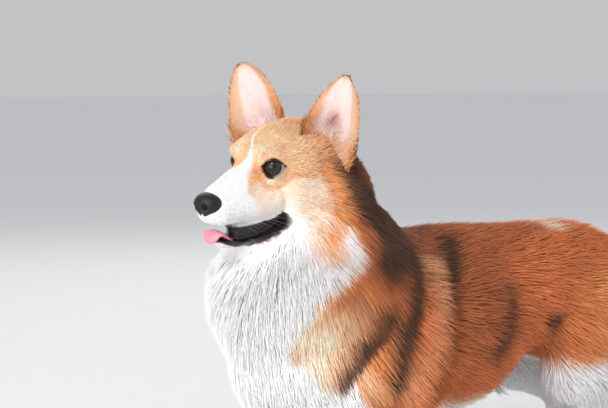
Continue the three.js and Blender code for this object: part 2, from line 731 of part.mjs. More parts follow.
// A claw grows from its toe, forwards and down, and clears the floor.
const clawSteps = [0, 9, 14];
const claw = (x, y, size, i) => {
  const start = new THREE.Vector3(
    x - pawLength * (toeReach[i] + 0.1) * size,
    y + pawWidth * toeSpread[i] * size,
    pawHeight * 0.38 * size,
  );
  const path = clawSteps.map((d) => new THREE.Vector3(start.x - d * size, start.y, start.z - d * d * 0.045));
  const facing = path.map(() => new THREE.Vector3(0, 0, 1));
  return solidOf(tubeOf(path, facing, (t) => ({ width: 2.6 * (1 - 0.6 * t), thickness: 3.2 * (1 - 0.6 * t) }), 4));
};

const trunkCell = 25;
const neckWhole = solidOf(
  meshOf(wholeBody, [lines(-240, trunkCell, 40), lines(-120, trunkCell, 120), lines(170, trunkCell, 410)]),
);
const neckCore = keepSide(neckWhole, neckCut.point, neckCut.normal).subtract(headRoom);
const chestWhole = solidOf(
  meshOf(wholeBody, [lines(-232, trunkCell, 40), lines(-122, trunkCell, 122), lines(70, trunkCell, 330)]),
);
const chestCore = keepSide(keepSide(chestWhole, neckCut.point, turned(neckCut.normal)), [chestEnd, 0, 0], [-1, 0, 0]);
const barrelWhole = solidOf(meshOf(wholeBody, evenly([-20, -120, 70], [180, 120, 330], trunkCell)));
const barrelCore = keepSide(keepSide(barrelWhole, [chestEnd, 0, 0], [1, 0, 0]), [rumpStart, 0, 0], [-1, 0, 0]);
const rumpWhole = solidOf(meshOf(wholeBody, evenly([110, -120, 70], [360, 120, 330], trunkCell)));
const rumpCore = keepSide(rumpWhole, [rumpStart, 0, 0], [1, 0, 0]);

const tailEnd = [344, 0, 243];
const tailField = limb(tailRoot, tailEnd, 20, 14);
const tailWhole = solidOf(meshOf(tailField, evenly([270, -30, 215], [372, 30, 285], 10)));
const rumpGrown = grown(gap + 1, evenly([240, -60, 180], [370, 60, 320], 13));

// A core with its own locks, less the room that its neighbours' locks take.
const parted = (core, own, neighbours) => {
  const whole = own ? fused(core, own.plain) : core;
  return whole.subtract(wasm.Manifold.union(neighbours.map((locks) => locks.room)));
};

// Assembly: each node as one named mesh with its own material.
const dog = new THREE.Group();
dog.name = "corgi";
const headGroup = new THREE.Group();
headGroup.applyMatrix4(headFrame);
dog.add(headGroup);

function addNode(name, solid, colour, { roughness = 0.9, group = dog } = {}) {
  const geometry = geometryOf(largest(solid));
  if (group === headGroup) toHead(geometry);
  geometry.computeVertexNormals();
  const material = new THREE.MeshStandardMaterial({ color: colour, roughness, metalness: 0 });
  const mesh = new THREE.Mesh(geometry, material);
  mesh.name = name;
  group.add(mesh);
}

const sides = { left: -1, right: 1 };
const arms = { left: feathers(sides.left), right: feathers(sides.right) };
const rears = { left: britches(sides.left), right: britches(sides.right) };
const armLocks = Object.values(arms);
const rearLocks = Object.values(rears);

addNode("head", upperHead, fur.ginger, { group: headGroup });
addNode("lower_jaw", lowerJaw, fur.white, { group: headGroup });
addNode("nose", nose, skinBlack, { roughness: 0.4, group: headGroup });
addNode("tongue", solidOf(tongueGeometry(0)), tonguePink, { roughness: 0.35, group: headGroup });
for (const [name, s] of [["left", 1], ["right", -1]]) {
  const ear = solidOf(placed(earGeometry(s, earTurn[name]))).subtract(headGrown).subtract(upperHead);
  addNode(`eye_${name}`, eyes[name].ball, skinBlack, { roughness: 0.1, group: headGroup });
  addNode(`ear_${name}`, parted(ear, null, [cheeks, ruff]), fur.ginger, { group: headGroup });
}
const neck = parted(neckCore, ruff, [cheeks, bibLocks]).subtract(headRoom);
addNode("neck", neck, fur.white);
const chest = parted(chestCore.subtract(allBlocks), bibLocks, [ruff, bellyLocks, ...armLocks]).subtract(neck);
addNode("chest", keepSide(chest, neckCut.point, turned(neckCut.normal)), fur.white);
addNode("barrel", parted(barrelCore.subtract(allBlocks), bellyLocks, [ruff, ...armLocks]), fur.ginger);
const rump = parted(rumpCore.subtract(allBlocks), seatLocks, [bellyLocks, ...rearLocks]);
addNode("rump", rump, fur.ginger);
addNode("tail", parted(tailWhole.subtract(rumpGrown).subtract(rump), null, [seatLocks, ...rearLocks]), fur.cream);

for (const [name, s] of Object.entries(sides)) {
  const foreWhole = above(legPiece(s, -150, 0, 30, 172, 14, foreBlock(s)), levels.wrist);
  addNode(`foreleg_${name}`, parted(foreWhole, arms[name], [bibLocks]), fur.white);
  const forePaw = legPiece(s, -152, -30, -14, 66, 9, foreBlock(s)).trimByPlane([0, 0, 1], 0);
  const foreFoot = parted(below(forePaw, levels.wrist), null, [arms[name]]);
  addNode(`forepaw_${name}`, foreFoot, fur.white);

  const hindWhole = legPiece(s, 130, 360, 26, 224, 16, hindBlock(s));
  const thigh = parted(above(hindWhole, levels.hock), rears[name], [seatLocks, bellyLocks]);
  addNode(`thigh_${name}`, thigh, fur.ginger);
  const shank = above(below(hindWhole, levels.hock), levels.pastern);
  addNode(`hindleg_${name}`, parted(shank, null, [rears[name], seatLocks, bellyLocks]), fur.white);
  const hindPaw = legPiece(s, 212, 348, -14, 60, 9, hindBlock(s)).trimByPlane([0, 0, 1], 0);
  const hindFoot = below(hindPaw, levels.pastern);
  addNode(`hindpaw_${name}`, hindFoot, fur.white);

  for (const [limbName, foot, x, y, size] of [
    ["fore", foreFoot, forePawX, s * legSpread.wrist, 1],
    ["hind", hindFoot, hindPawX, s * legSpread.hock, hindPawSize],
  ]) {
    const around = grown(gap, evenly([x - 60, y - 40, -14], [x + 10, y + 40, 50], 8));
    toeSpread.forEach((_, i) => {
      const bare = claw(x, y, size, i).subtract(around).subtract(foot);
      addNode(`${limbName}claw_${name}_${i + 1}`, bare, skinBlack, { roughness: 0.5 });
    });
  }
}

// The origin goes under the middle of the dog's box.
const box = new THREE.Box3().setFromObject(dog, true);
const middle = box.getCenter(new THREE.Vector3());
dog.position.set(-middle.x, -middle.y, -box.min.z);

export default dog;
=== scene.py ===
import json
import math

import bmesh
import bpy
import numpy as np
from mathutils import Euler, Matrix, Vector, kdtree

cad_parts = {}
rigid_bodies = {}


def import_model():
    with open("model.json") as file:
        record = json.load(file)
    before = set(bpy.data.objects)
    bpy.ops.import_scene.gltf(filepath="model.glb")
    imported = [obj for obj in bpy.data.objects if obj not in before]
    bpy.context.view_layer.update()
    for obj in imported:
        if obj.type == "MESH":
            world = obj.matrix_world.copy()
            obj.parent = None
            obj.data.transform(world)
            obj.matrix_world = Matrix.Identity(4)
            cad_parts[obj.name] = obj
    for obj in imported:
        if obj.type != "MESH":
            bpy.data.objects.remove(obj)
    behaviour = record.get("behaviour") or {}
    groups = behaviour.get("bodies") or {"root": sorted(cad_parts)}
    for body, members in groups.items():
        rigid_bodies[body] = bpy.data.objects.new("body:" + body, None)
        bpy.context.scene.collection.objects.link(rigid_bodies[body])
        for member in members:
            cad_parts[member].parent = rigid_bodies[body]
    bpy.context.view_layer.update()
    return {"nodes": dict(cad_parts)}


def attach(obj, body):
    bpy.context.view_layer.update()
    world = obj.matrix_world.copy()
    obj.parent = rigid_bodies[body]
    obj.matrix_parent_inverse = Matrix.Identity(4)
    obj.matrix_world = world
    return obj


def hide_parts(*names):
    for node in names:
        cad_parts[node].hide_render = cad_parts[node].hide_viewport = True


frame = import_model()
for node in bpy.context.scene.objects:
    node.select_set(False)
dice = np.random.default_rng(11)
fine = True

# The dog is laid out in millimetres. It faces -X. X is counted back from the withers, Z up from the floor.
# The head has its own axes: u towards the nose, v to the dog's left, w up, from the point between the eyes.
dogPlan = {
    "shift": (-48.209, -0.902, 0.0),  # from the withers to the middle of the frame
    "headAt": (-184, -2, 377),
    "headTurn": (0.094, -0.098, 0.223),
}


def headMatrix():
    x, y, z = dogPlan["headTurn"]
    turn = Matrix.Rotation(z, 4, "Z") @ Matrix.Rotation(y, 4, "Y") @ Matrix.Rotation(x, 4, "X")
    return Matrix.Translation(dogPlan["headAt"]) @ turn @ Matrix.Rotation(math.pi, 4, "Z")


fromHead = headMatrix()
toHead = fromHead.inverted()


def carried(matrix, points):
    m = np.array(matrix)
    return points @ m[:3, :3].T + m[:3, 3]


def turnedBy(matrix, vectors):
    return vectors @ np.array(matrix)[:3, :3].T


def rise(low, high, x):
    t = np.clip((x - low) / (high - low), 0, 1)
    return t * t * (3 - 2 * t)


def mixed(a, b, share):
    return a + (b - a) * share


def layered(out, *layers):
    for value, share in layers:
        out = mixed(out, value, share)
    return out


def unit(v):
    return v / np.maximum(np.linalg.norm(v, axis=-1, keepdims=True), 1e-9)


# Forms of flesh


def ellipsoid(at, half):
    at, half = np.array(at, float), np.array(half, float)

    def reach(p):
        q = (p - at) / half
        far = np.linalg.norm(q, axis=1)
        return far * (far - 1) / np.maximum(np.linalg.norm(q / half, axis=1), 1e-9)

    return {"reach": reach, "balls": [Matrix.Translation(at) @ Matrix.Diagonal((*half, 1))]}


def limb(a, b, thickA, thickB):
    a, b = np.array(a, float), np.array(b, float)
    way = b - a

    def reach(p):
        t = np.clip((p - a) @ way / (way @ way), 0, 1)
        return np.linalg.norm(p - a - t[:, None] * way, axis=1) - thickA - t * (thickB - thickA)

    steps = max(2, int(np.linalg.norm(way) / min(thickA, thickB) * 2.2) + 1)
    balls = [
        Matrix.Translation(a + way * t) @ Matrix.Scale(thickA + (thickB - thickA) * t, 4)
        for t in np.linspace(0, 1, steps)
    ]
    return {"reach": reach, "balls": balls}


def softMin(a, b, k):
    h = np.maximum(k - np.abs(a - b), 0) / k
    return np.minimum(a, b) - h * h * k * 0.25


def blend(k, *forms):
    def reach(p):
        out = forms[0]["reach"](p)
        for form in forms[1:]:
            out = softMin(out, form["reach"](p), k)
        return out

    return {"reach": reach, "balls": [ball for form in forms for ball in form["balls"]]}


def onHead(form):
    return {
        "reach": lambda p: form["reach"](carried(toHead, p)),
        "balls": [fromHead @ ball for ball in form["balls"]],
    }


def bothSides(make):
    return [make(-1), make(1)]


headPlan = {
    "skull": ((-50, 0, 2), (54, 50, 40)),
    "forehead": ((-20, 0, 8), (33, 34, 23)),
    "brow": ((-4, 21, 13), (15, 12, 8)),
    "eyeAt": (-3, 22, 2),
    "eyeRadius": 11.5,
    "gazeOut": 0.5,
    "lidHalf": 11.6,
    "lidArch": 16.5,
    "lidThick": 1.5,
    "noseAt": (66, 0, -27.5),
    "noseHalf": (13.5, 15, 11.5),
}


def headForm():
    muzzle = blend(
        9,
        limb((4, 0, -16), (62, 0, -31), 25, 14.5),
        limb((0, 0, -6), (56, 0, -21), 15, 9),
        *bothSides(lambda s: limb((0, s * 17, -33), (56, s * 8, -38), 15, 11)),
    )
    jaw = blend(
        8,
        limb((-20, 0, -58), (46, 0, -66), 17, 9.5),
        *bothSides(lambda s: limb((-30, s * 20, -52), (36, s * 10, -65), 13, 9)),
    )
    skull = blend(
        14,
        ellipsoid(*headPlan["skull"]),
        ellipsoid(*headPlan["forehead"]),
        *bothSides(lambda s: ellipsoid((-48, s * 26, -26), (41, 28, 32))),
        *bothSides(lambda s: ellipsoid((-74, s * 38, -32), (34, 28, 38))),
        ellipsoid((-82, 0, -30), (40, 60, 54)),
    )
    (u, v, w), half = headPlan["brow"]
    brows = bothSides(lambda s: ellipsoid((u, s * v, w), half))
    return blend(9, blend(12, skull, muzzle), jaw, *brows)


bodyPlan = {
    "bib": [((-128, 0, 240), 82), ((-98, 0, 194), 92), ((-82, 0, 144), 86)],
    "ribs": ((20, 0, 200), (142, 99, 103)),
    "loin": ((160, 0, 227), (112, 85, 75)),
    "croup": ((232, 0, 219), (98, 84, 82)),
    "brisket": ((-34, 0, 141), (96, 58, 44)),
    "shoulder": ((-62, 60, 196), (64, 40, 84)),
    "seat": ((284, 34, 192), (44, 42, 60)),
    "withers": ((-24, 0, 256), (86, 60, 43)),
    "back": ((80, 0, 246), (96, 66, 57)),
    "neckBase": ((-72, 0, 240), 78),
    "neckTop": ((-104, -3, 326), 54),
    "gullet": ((-118, 0, 258), (74, 80, 62)),
    "tail": [((300, 0, 256), 20), ((344, 0, 243), 14)],
}


def mirrored(place, s):
    (x, y, z), half = place
    return (x, s * y, z), half


def trunkForm():
    (a, ra), (b, rb), (c, rc) = bodyPlan["bib"]
    return blend(
        24,
        limb(a, b, ra, rb),
        limb(b, c, rb, rc),
        *[ellipsoid(*bodyPlan[name]) for name in ("ribs", "loin", "croup", "brisket")],
        *[ellipsoid(*mirrored(bodyPlan[name], s)) for name in ("shoulder", "seat") for s in (-1, 1)],
        ellipsoid(*bodyPlan["withers"]),
        ellipsoid(*bodyPlan["back"]),
        limb((112, 0, 130), (140, 0, 115), 12, 9),
    )


def neckForm():
    (a, ra), (b, rb) = bodyPlan["neckBase"], bodyPlan["neckTop"]
    return blend(24, limb(a, b, ra, rb), ellipsoid(*bodyPlan["gullet"]))


legPlan = {
    "foreX": -80, "elbow": 64, "wrist": 50, "wristUp": 56,
    "stifle": (206, 60, 142), "hock": (302, 54, 82),
    "pawLong": 66, "pawWide": 52, "pawHigh": 36,
    "toeSpread": (-0.36, -0.13, 0.13, 0.36), "toeReach": (0.3, 0.42, 0.42, 0.3),
}


def paw(x, y, size):
    long, wide, high = (legPlan[k] * size for k in ("pawLong", "pawWide", "pawHigh"))
    toes = [
        ellipsoid((x - long * out, y + wide * across, high * 0.33), (long * 0.2, wide * 0.145, high * 0.4))
        for across, out in zip(legPlan["toeSpread"], legPlan["toeReach"])
    ]
    return blend(7, ellipsoid((x, y, high * 0.42), (long * 0.4, wide * 0.46, high * 0.56)), *toes)


def foreLeg(s):
    x, elbow, wrist, up = (legPlan[k] for k in ("foreX", "elbow", "wrist", "wristUp"))
    leg = blend(
        16,
        limb((x - 16, s * 62, 172), (x + 14, s * elbow, 128), 36, 31),
        limb((x + 10, s * elbow, 126), (x, s * wrist, up), 30, 21),
        limb((x, s * wrist, up), (x - 10, s * wrist, 26), 21, 20),
    )
    return blend(12, leg, paw(x - 22, s * wrist, 1))


def hindLeg(s):
    (sx, sy, sz), (hx, hy, hz) = legPlan["stifle"], legPlan["hock"]
    leg = blend(
        18,
        ellipsoid((232, s * 57, 176), (74, 38, 78)),
        limb((sx, s * sy, sz), (hx, s * hy, hz), 36, 20),
        limb((hx, s * hy, hz), (hx - 12, s * hy, 26), 20, 18),
    )
    return blend(12, leg, paw(hx - 26, s * hy, 0.93))


headShape = onHead(headForm())
neckShape = neckForm()
legShapes = [*bothSides(foreLeg), *bothSides(hindLeg)]
tailShape = limb(*[place for place, _ in bodyPlan["tail"]], *[thick for _, thick in bodyPlan["tail"]])
trunkShape = trunkForm()
flesh = blend(22, blend(18, blend(34, trunkShape, neckShape), headShape), *legShapes, tailShape)


# Mouth and eyes in the head

mouthPlan = {
    # the opening seen from the side, as u and w: along the upper lip, then back along the lower lip
    "outline": [
        (92, -45), (66, -47), (58, -52), (50, -54.8), (42, -56), (33, -56.2), (18, -54), (6, -49.5), (0, -45),
        (-4, -42.4), (-9, -46), (-9.5, -51), (-7, -55.5), (0, -59.5), (8, -63), (20, -66), (34, -67.5),
        (50, -66), (92, -62),
    ],
    # between the lips, and how far the black of the lower lip reaches down, along u
    "lipU": (-8, 0, 8, 18, 27, 36, 46, 56, 64),
    "betweenW": (-47, -51, -56, -59.5, -61.5, -62, -61.5, -59, -56),
    "lowerLip": (2.2, 2.4, 3.4, 6, 9, 8.2, 5.5, 2, 0.8),
    # what fills the mouth behind the lips, seen from above: half widths along u
    "fillU": (-40, -10, 10, 24, 34, 39), "fillV": (25, 21, 16.5, 12.5, 8, 0),
    "softness": 1.6,
}


def outlineReach(points, outline):
    corners = np.array(outline, float)
    near = np.full(len(points), 1e9)
    inside = np.zeros(len(points), bool)
    for a, b in zip(corners, np.roll(corners, -1, axis=0)):
        way, off = b - a, points - a
        t = np.clip(off @ way / (way @ way), 0, 1)
        near = np.minimum(near, np.linalg.norm(off - t[:, None] * way, axis=1))
        crosses = (a[1] > points[:, 1]) != (b[1] > points[:, 1])
        slope = way[0] / way[1] if abs(way[1]) > 1e-9 else 0
        inside ^= crosses & (points[:, 0] < a[0] + (points[:, 1] - a[1]) * slope)
    return np.where(inside, -near, near)


def mouthReach(h):
    side = outlineReach(h[:, [0, 2]], mouthPlan["outline"])
    fill = np.interp(h[:, 0], mouthPlan["fillU"], mouthPlan["fillV"]) - np.abs(h[:, 1])
    return np.maximum(side, fill)


def eyeAxes(s, lift=0.04):
    u, v, w = headPlan["eyeAt"]
    look = Vector((math.cos(headPlan["gazeOut"]), s * math.sin(headPlan["gazeOut"]), lift)).normalized()
    side = Vector((0, 0, 1)).cross(look).normalized()
    up = look.cross(side)
    return np.array((u, s * v, w)), np.array((side, up, look))


def lidReach(h, s):
    centre, axes = eyeAxes(s)
    a, b, c = ((h - centre) @ axes.T).T
    half, arch = headPlan["lidHalf"], headPlan["lidArch"]
    bend = (a / half) * 1.4 * s  # the inner corner lies lower than the outer one
    room = arch * 0.5 * (1 - np.clip(np.abs(a) / half, 0, 1.4) ** 2)
    almond = np.abs(b + 0.6 - bend) - np.where(b + 0.6 > bend, room * 0.98, room * 0.92)
    almond = np.maximum(almond * 0.75, np.abs(a) - half)
    return almond, np.linalg.norm(h - centre, axis=1), c


def bodyReach(p):
    out = flesh["reach"](p)
    h = carried(toHead, p)
    near = np.nonzero(h[:, 0] > -40)[0]
    if len(near):
        g, f = h[near], out[near]
        radius = headPlan["eyeRadius"]
        for s in (-1, 1):
            almond, far, ahead = lidReach(g, s)
            f = softMin(f, far - radius - headPlan["lidThick"] - faceInset, 3.5)
            recess = np.maximum(np.maximum(almond, radius - 3 - far), -ahead)
            f = np.maximum(f, -recess - faceInset)
        k = mouthPlan["softness"]
        f = -softMin(-f, mouthReach(g) + faceInset, k)
        out[near] = f
    return out


faceInset = 0.8
coatPlan = {"trunk": 8.5, "front": 2.5, "leg": 3.0, "paw": 1.4, "cheek": 4.5, "tail": 6.0}


def parts(p):
    h = carried(toHead, p)
    head = 1 - rise(2, 15, headShape["reach"](p))
    legs = np.minimum.reduce([leg["reach"](p) for leg in legShapes])
    leg = (1 - rise(-2, 12, legs)) * (1 - rise(88, 150, p[:, 2]))
    tail = 1 - rise(-3, 6, tailShape["reach"](p))
    return h, head, leg, tail


def depthAt(p):
    h, head, leg, tail = parts(p)
    front = (1 - rise(-60, 10, p[:, 0])) * rise(110, 150, p[:, 2])
    foot = mixed(coatPlan["paw"], coatPlan["leg"], rise(34, 70, p[:, 2]))
    depth = layered(coatPlan["trunk"], (coatPlan["front"], front), (coatPlan["tail"], tail), (foot, leg))
    relief = creaseShare(p, "creases") * 1.5 - creaseShare(p, "folds") * 1.3
    depth = depth + relief * (1 - leg)
    face = mixed(coatPlan["cheek"], faceInset, rise(-50, -12, h[:, 0]))
    return mixed(depth, face, head)


# Skin

skinPlan = {"ballCut": 3, "voxel": 3.4, "fitSteps": 6, "headCut": -72, "faceCut": -24}


def newObject(name, mesh):
    piece = bpy.data.objects.new(name, mesh)
    bpy.context.scene.collection.objects.link(piece)
    return piece


def meshOfBmesh(name, bm):
    mesh = bpy.data.meshes.new(name)
    bm.to_mesh(mesh)
    bm.free()
    return mesh


def modified(piece, kind, **settings):
    modifier = piece.modifiers.new("made", kind)
    for setting, value in settings.items():
        setattr(modifier, setting, value)
    bpy.context.view_layer.update()
    made = bpy.data.meshes.new_from_object(piece.evaluated_get(bpy.context.evaluated_depsgraph_get()))
    old = piece.data
    piece.modifiers.clear()
    piece.data = made
    bpy.data.meshes.remove(old)


def pointsOf(mesh):
    co = np.zeros(len(mesh.vertices) * 3)
    mesh.vertices.foreach_get("co", co)
    return co.reshape(-1, 3)


def setPoints(mesh, points):
    mesh.vertices.foreach_set("co", points.astype(np.float32).ravel())
    mesh.update()


def edgesOf(mesh):
    ends = np.zeros(len(mesh.edges) * 2, np.int64)
    mesh.edges.foreach_get("vertices", ends)
    return ends.reshape(-1, 2)


def evened(points, ends, share):
    total, count = np.zeros_like(points), np.zeros(len(points))
    for a, b in ((0, 1), (1, 0)):
        for axis in range(3):
            total[:, axis] += np.bincount(ends[:, a], points[ends[:, b], axis], len(points))
        count += np.bincount(ends[:, a], minlength=len(points))
    return points + (total / np.maximum(count, 1)[:, None] - points) * share


def slopeAt(reach, p, step=0.4):
    here = reach(p)
    slope = np.stack([reach(p + step * axis) - here for axis in np.eye(3)], axis=1) / step
    return here, slope


def fitted(points, reach, depth, limit):
    here, slope = slopeAt(reach, points)
    size = np.maximum((slope**2).sum(1), 0.15)
    move = -((here + depth) / size)[:, None] * slope
    far = np.linalg.norm(move, axis=1, keepdims=True)
    return points + move * np.minimum(1, limit / np.maximum(far, 1e-9))


def prism(name, corners, way):
    bm = bmesh.new()
    face = bm.faces.new([bm.verts.new(fromHead @ Vector(corner)) for corner in corners])
    grown = bmesh.ops.extrude_face_region(bm, geom=[face])["geom"]
    far = [v for v in grown if isinstance(v, bmesh.types.BMVert)]
    bmesh.ops.translate(bm, verts=far, vec=fromHead.to_3x3() @ Vector(way))
    bmesh.ops.recalc_face_normals(bm, faces=bm.faces)
    return newObject(name, meshOfBmesh(name, bm))


def makeBase():
    bm = bmesh.new()
    for ball in flesh["balls"]:
        bmesh.ops.create_icosphere(bm, subdivisions=skinPlan["ballCut"], radius=1, matrix=ball)
    piece = newObject("skin", meshOfBmesh("skin", bm))
    modified(piece, "REMESH", mode="VOXEL", voxel_size=skinPlan["voxel"])
    points, ends = pointsOf(piece.data), edgesOf(piece.data)
    for _ in range(3):
        points = fitted(evened(points, ends, 0.5), flesh["reach"], 0, 6)
    setPoints(piece.data, points)
    # the mouth's opening goes through from side to side, less what fills the mouth
    slot = prism("slot", [(u, -60, w) for u, w in mouthPlan["outline"]], (0, 120, 0))
    rim = list(zip(mouthPlan["fillU"], mouthPlan["fillV"]))
    rim += [(u, -v) for u, v in reversed(rim[:-1])]
    fill = prism("fill", [(u, v, -100) for u, v in rim], (0, 0, 90))
    for target, tool in ((slot, fill), (piece, slot)):
        modified(target, "BOOLEAN", operation="DIFFERENCE", solver="EXACT", object=tool)
    modified(piece, "REMESH", mode="VOXEL", voxel_size=skinPlan["voxel"] * 0.92)
    for tool in (slot, fill):
        bpy.data.objects.remove(tool)
    return piece


def unwrap(piece):
    bpy.context.view_layer.objects.active = piece
    piece.select_set(True)
    bpy.ops.object.mode_set(mode="EDIT")
    bpy.ops.mesh.select_all(action="SELECT")
    bpy.ops.uv.smart_project(angle_limit=math.radians(66), island_margin=0.002)
    bpy.ops.object.mode_set(mode="OBJECT")
    piece.select_set(False)
    piece.data.uv_layers[0].name = "OFBake"


def refine(mesh, chosen):
    bm = bmesh.new()
    bm.from_mesh(mesh)
    bm.verts.ensure_lookup_table()
    pick = set(np.nonzero(chosen)[0].tolist())
    edges = [e for e in bm.edges if e.verts[0].index in pick and e.verts[1].index in pick]
    bmesh.ops.subdivide_edges(bm, edges=edges, cuts=1, use_grid_fill=True)
    bm.to_mesh(mesh)
    bm.free()


def makeSkin():
    piece = makeBase()
    mesh = piece.data
    points, ends = pointsOf(mesh), edgesOf(mesh)
    for step in range(skinPlan["fitSteps"]):
        depth = depthAt(points)
        points = fitted(points, bodyReach, depth, 3)
        if step < skinPlan["fitSteps"] - 1:
            points = evened(points, ends, 0.35)
    setPoints(mesh, points)
    unwrap(piece)
    for level in (skinPlan["headCut"], skinPlan["faceCut"]):
        h = carried(toHead, pointsOf(mesh))
        chosen = (h[:, 0] > level) & (headShape["reach"](pointsOf(mesh)) < 6)
        refine(mesh, chosen)
        points, ends = pointsOf(mesh), edgesOf(mesh)
        h = carried(toHead, points)
        near = np.nonzero((h[:, 0] > level - 6) & (headShape["reach"](points) < 12))[0]
        for step in range(5):
            if step < 4:
                points[near] = mixed(points, evened(points, ends, 1), 0.3)[near]
            points[near] = fitted(points[near], bodyReach, depthAt(points[near]), 1.5)
        setPoints(mesh, points)
    return piece


# Ears

earPlan = {
    "base": (-57, 46, 22), "tip": (-54, 73, 91), "halfWidth": 28.5, "foot": -0.3, "thick": 3.2,
    "turn": {1: (0.55, -0.12), -1: (-0.42, -0.36)}, "around": 96, "along": 64, "roll": 5.0,
}


def earPoint(s, t, a, lift=0.0):
    base, tip = Vector(earPlan["base"]), Vector(earPlan["tip"])
    foot, end = earPlan["turn"][s]
    up = max(t, 0.0)
    width = (earPlan["halfWidth"] + (1.6 if s < 0 else 0)) * max(1 - min(up, 1) ** 2.3, 0) ** 0.58
    faces = foot + (end - foot) * up
    opens = Vector((math.cos(faces), math.sin(faces), 0.06)).normalized()
    across = (tip - base).cross(opens).normalized()
    cup = 15 * (1 - up) + 4
    wave = 0.8 * math.sin(a * 5 + 1) * (1 - up)
    roll = earPlan["roll"] * rise(0.72, 1.0, abs(a)) * rise(0.05, 0.4, up) * (1 - rise(0.8, 1, up))
    point = base + (tip - base) * t + across * (a * width)
    point += opens * (cup * a * a - cup * 0.5 + wave - roll + lift)
    return Vector((point.x, s * point.y, point.z)), Vector((opens.x, s * opens.y, opens.z))


def makeEar(s):
    bm = bmesh.new()
    bmesh.ops.create_uvsphere(bm, u_segments=earPlan["around"], v_segments=earPlan["along"], radius=1)
    for v in bm.verts:
        t = earPlan["foot"] + (1 - earPlan["foot"]) * (v.co.z + 1) / 2
        ring = max(math.hypot(v.co.x, v.co.y), 1e-6)
        a, side = v.co.x / ring, v.co.y / ring
        thick = earPlan["thick"] * (1 - 0.45 * max(t, 0)) * min(1, ring * 2.5)
        v.co = earPoint(s, t, a, thick * 0.5 * side)[0]
    if bm.calc_volume(signed=True) < 0:
        bmesh.ops.reverse_faces(bm, faces=bm.faces)
    bmesh.ops.transform(bm, matrix=fromHead, verts=bm.verts)
    piece = newObject("ear", meshOfBmesh("ear", bm))
    unwrap(piece)
    layer = piece.data.uv_layers[0].data
    for loop in layer:  # into a corner of the skin's map that it leaves free
        loop.uv = (loop.uv[0] * 0.14 + (0.85 if s > 0 else 0.70), loop.uv[1] * 0.14 + 0.85)
    return piece


def makeHide():
    skin = makeSkin()
    print("skin", len(skin.data.polygons), "faces")
    ears = [makeEar(s) for s in (1, -1)]
    layer = skin.data.uv_layers[0].data
    uv = np.zeros(len(layer) * 2)
    layer.foreach_get("uv", uv)
    layer.foreach_set("uv", (uv.reshape(-1, 2) * (1, 0.84)).ravel())
    for piece, mark in ((skin, 0), (ears[0], 1), (ears[1], -1)):
        ear = piece.data.attributes.new("earSide", "FLOAT", "POINT")
        ear.data.foreach_set("value", np.full(len(piece.data.vertices), mark, np.float32))
        piece.select_set(True)
    bpy.context.view_layer.objects.active = skin
    bpy.ops.object.join()
    skin.select_set(False)
    skin.data.polygons.foreach_set("use_smooth", np.ones(len(skin.data.polygons), bool))
    return skin


# Markings


def colour(red, green, blue):
    def linear(x):
        x = x / 255
        return x / 12.92 if x < 0.04045 else ((x + 0.055) / 1.055) ** 2.4

    return np.array([linear(red), linear(green), linear(blue)])


furColours = {
    "white": colour(250, 247, 250),
    "cream": colour(252, 226, 204),
    "tan": colour(243, 190, 148),
    "orange": colour(228, 150, 92),
    "rust": colour(204, 114, 68),
    "dark": colour(128, 76, 52),
    # a dark brown: painted shade in the creases and on the nape, and the dark whisker spots and freckles of
    # the face
    "shade": colour(78, 54, 42),
    "pink": colour(240, 208, 204),
    "deepPink": colour(184, 116, 106),
    # dark lines of painted shade in the folds of the ear
    "fold": colour(120, 66, 58),
    "lip": colour(30, 26, 27),
    "rim": colour(30, 22, 20),
    "pad": colour(52, 46, 44),
    "gum": colour(110, 56, 50),
}

markPlan = {
    # the blaze and the white of the nose's bridge: v along u in the head's frame
    "blazeU": (-17, -9, 1, 7, 12, 16, 20), "blazeV": (-8, -7.4, -3.4, 1.3, 4.1, 4, 3),
    "bridgeU": (8, 13.5, 18, 25, 32, 40),
    "bridgeFar": (2, 1.4, -0.4, -2, -10, -50), "bridgeNear": (3.5, 8.2, 9.6, 13, 18.5, 50),
    # the orange edge of the cheek and the dark of the nape, which is the nape's darker hair with painted
    # shade under the ruff, as points of the left side
    "cheekEdge": [
        (-122, -45, 374), (-118, -52, 352), (-114, -56, 335),
        (-122, -62, 318), (-133, -67, 304), (-142, -72, 294),
    ],
    "nape": [
        [
            (-103, -47, 368), (-96, -53, 350), (-80, -52, 332), (-66, -50, 314),
            (-60, -62, 298), (-72, -76, 288), (-86, -80, 284),
        ],
        [(-86, -20, 376), (-74, -22, 350), (-58, -24, 318), (-46, -40, 306)],
    ],
    "cheekTan": [(-141, -50, 326), (-144, -60, 309), (-150, -70, 296)],
    # where the white of the chest ends, by height: X of its edge
    "whiteHeight": (0, 60, 96, 120, 150, 167, 185, 201, 232, 261, 288, 313, 330, 350),
    "whiteEdge": (40, 10, -60, -106, -120, -140, -182, -184, -178, -161, -122, -112, -140, -165),
    # creases of the coat on the left side, and one raised fold, as points of the body: they sink or raise the
    # coat, the creases are painted with shade and the fold is painted lighter with painted light
    "creases": [
        {"depth": 6.0, "width": 11, "line": [
            (-40, -66, 290), (-46, -76, 276), (-57, -92, 255), (-62, -97, 243),
            (-72, -101, 222), (-78, -103, 210), (-90, -105, 176),
        ]},
        {"depth": 6.0, "width": 11, "line": [
            (35, -44, 296), (22, -63, 280), (8, -80, 258), (-1, -91, 239),
            (-12, -97, 212), (-22, -98, 188), (-34, -96, 158), (-42, -92, 140),
        ]},
        {"depth": 2.6, "width": 13, "line": [(92, -84, 224), (76, -91, 195), (61, -92, 175)]},
        {"depth": 4.0, "width": 9, "line": [(156, -79, 200), (159, -74, 172)]},
        {"depth": 3.2, "width": 9, "line": [
            (-96, -97, 236), (-104, -97, 224), (-118, -97, 208), (-132, -91, 188), (-142, -85, 174),
        ]},
    ],
    "folds": [
        {"depth": 3.4, "width": 10, "line": [
            (-16, -70, 276), (-25, -93, 241), (-33, -99, 217),
            (-46, -102, 194), (-63, -102, 167), (-76, -102, 145),
        ]},
    ],
}


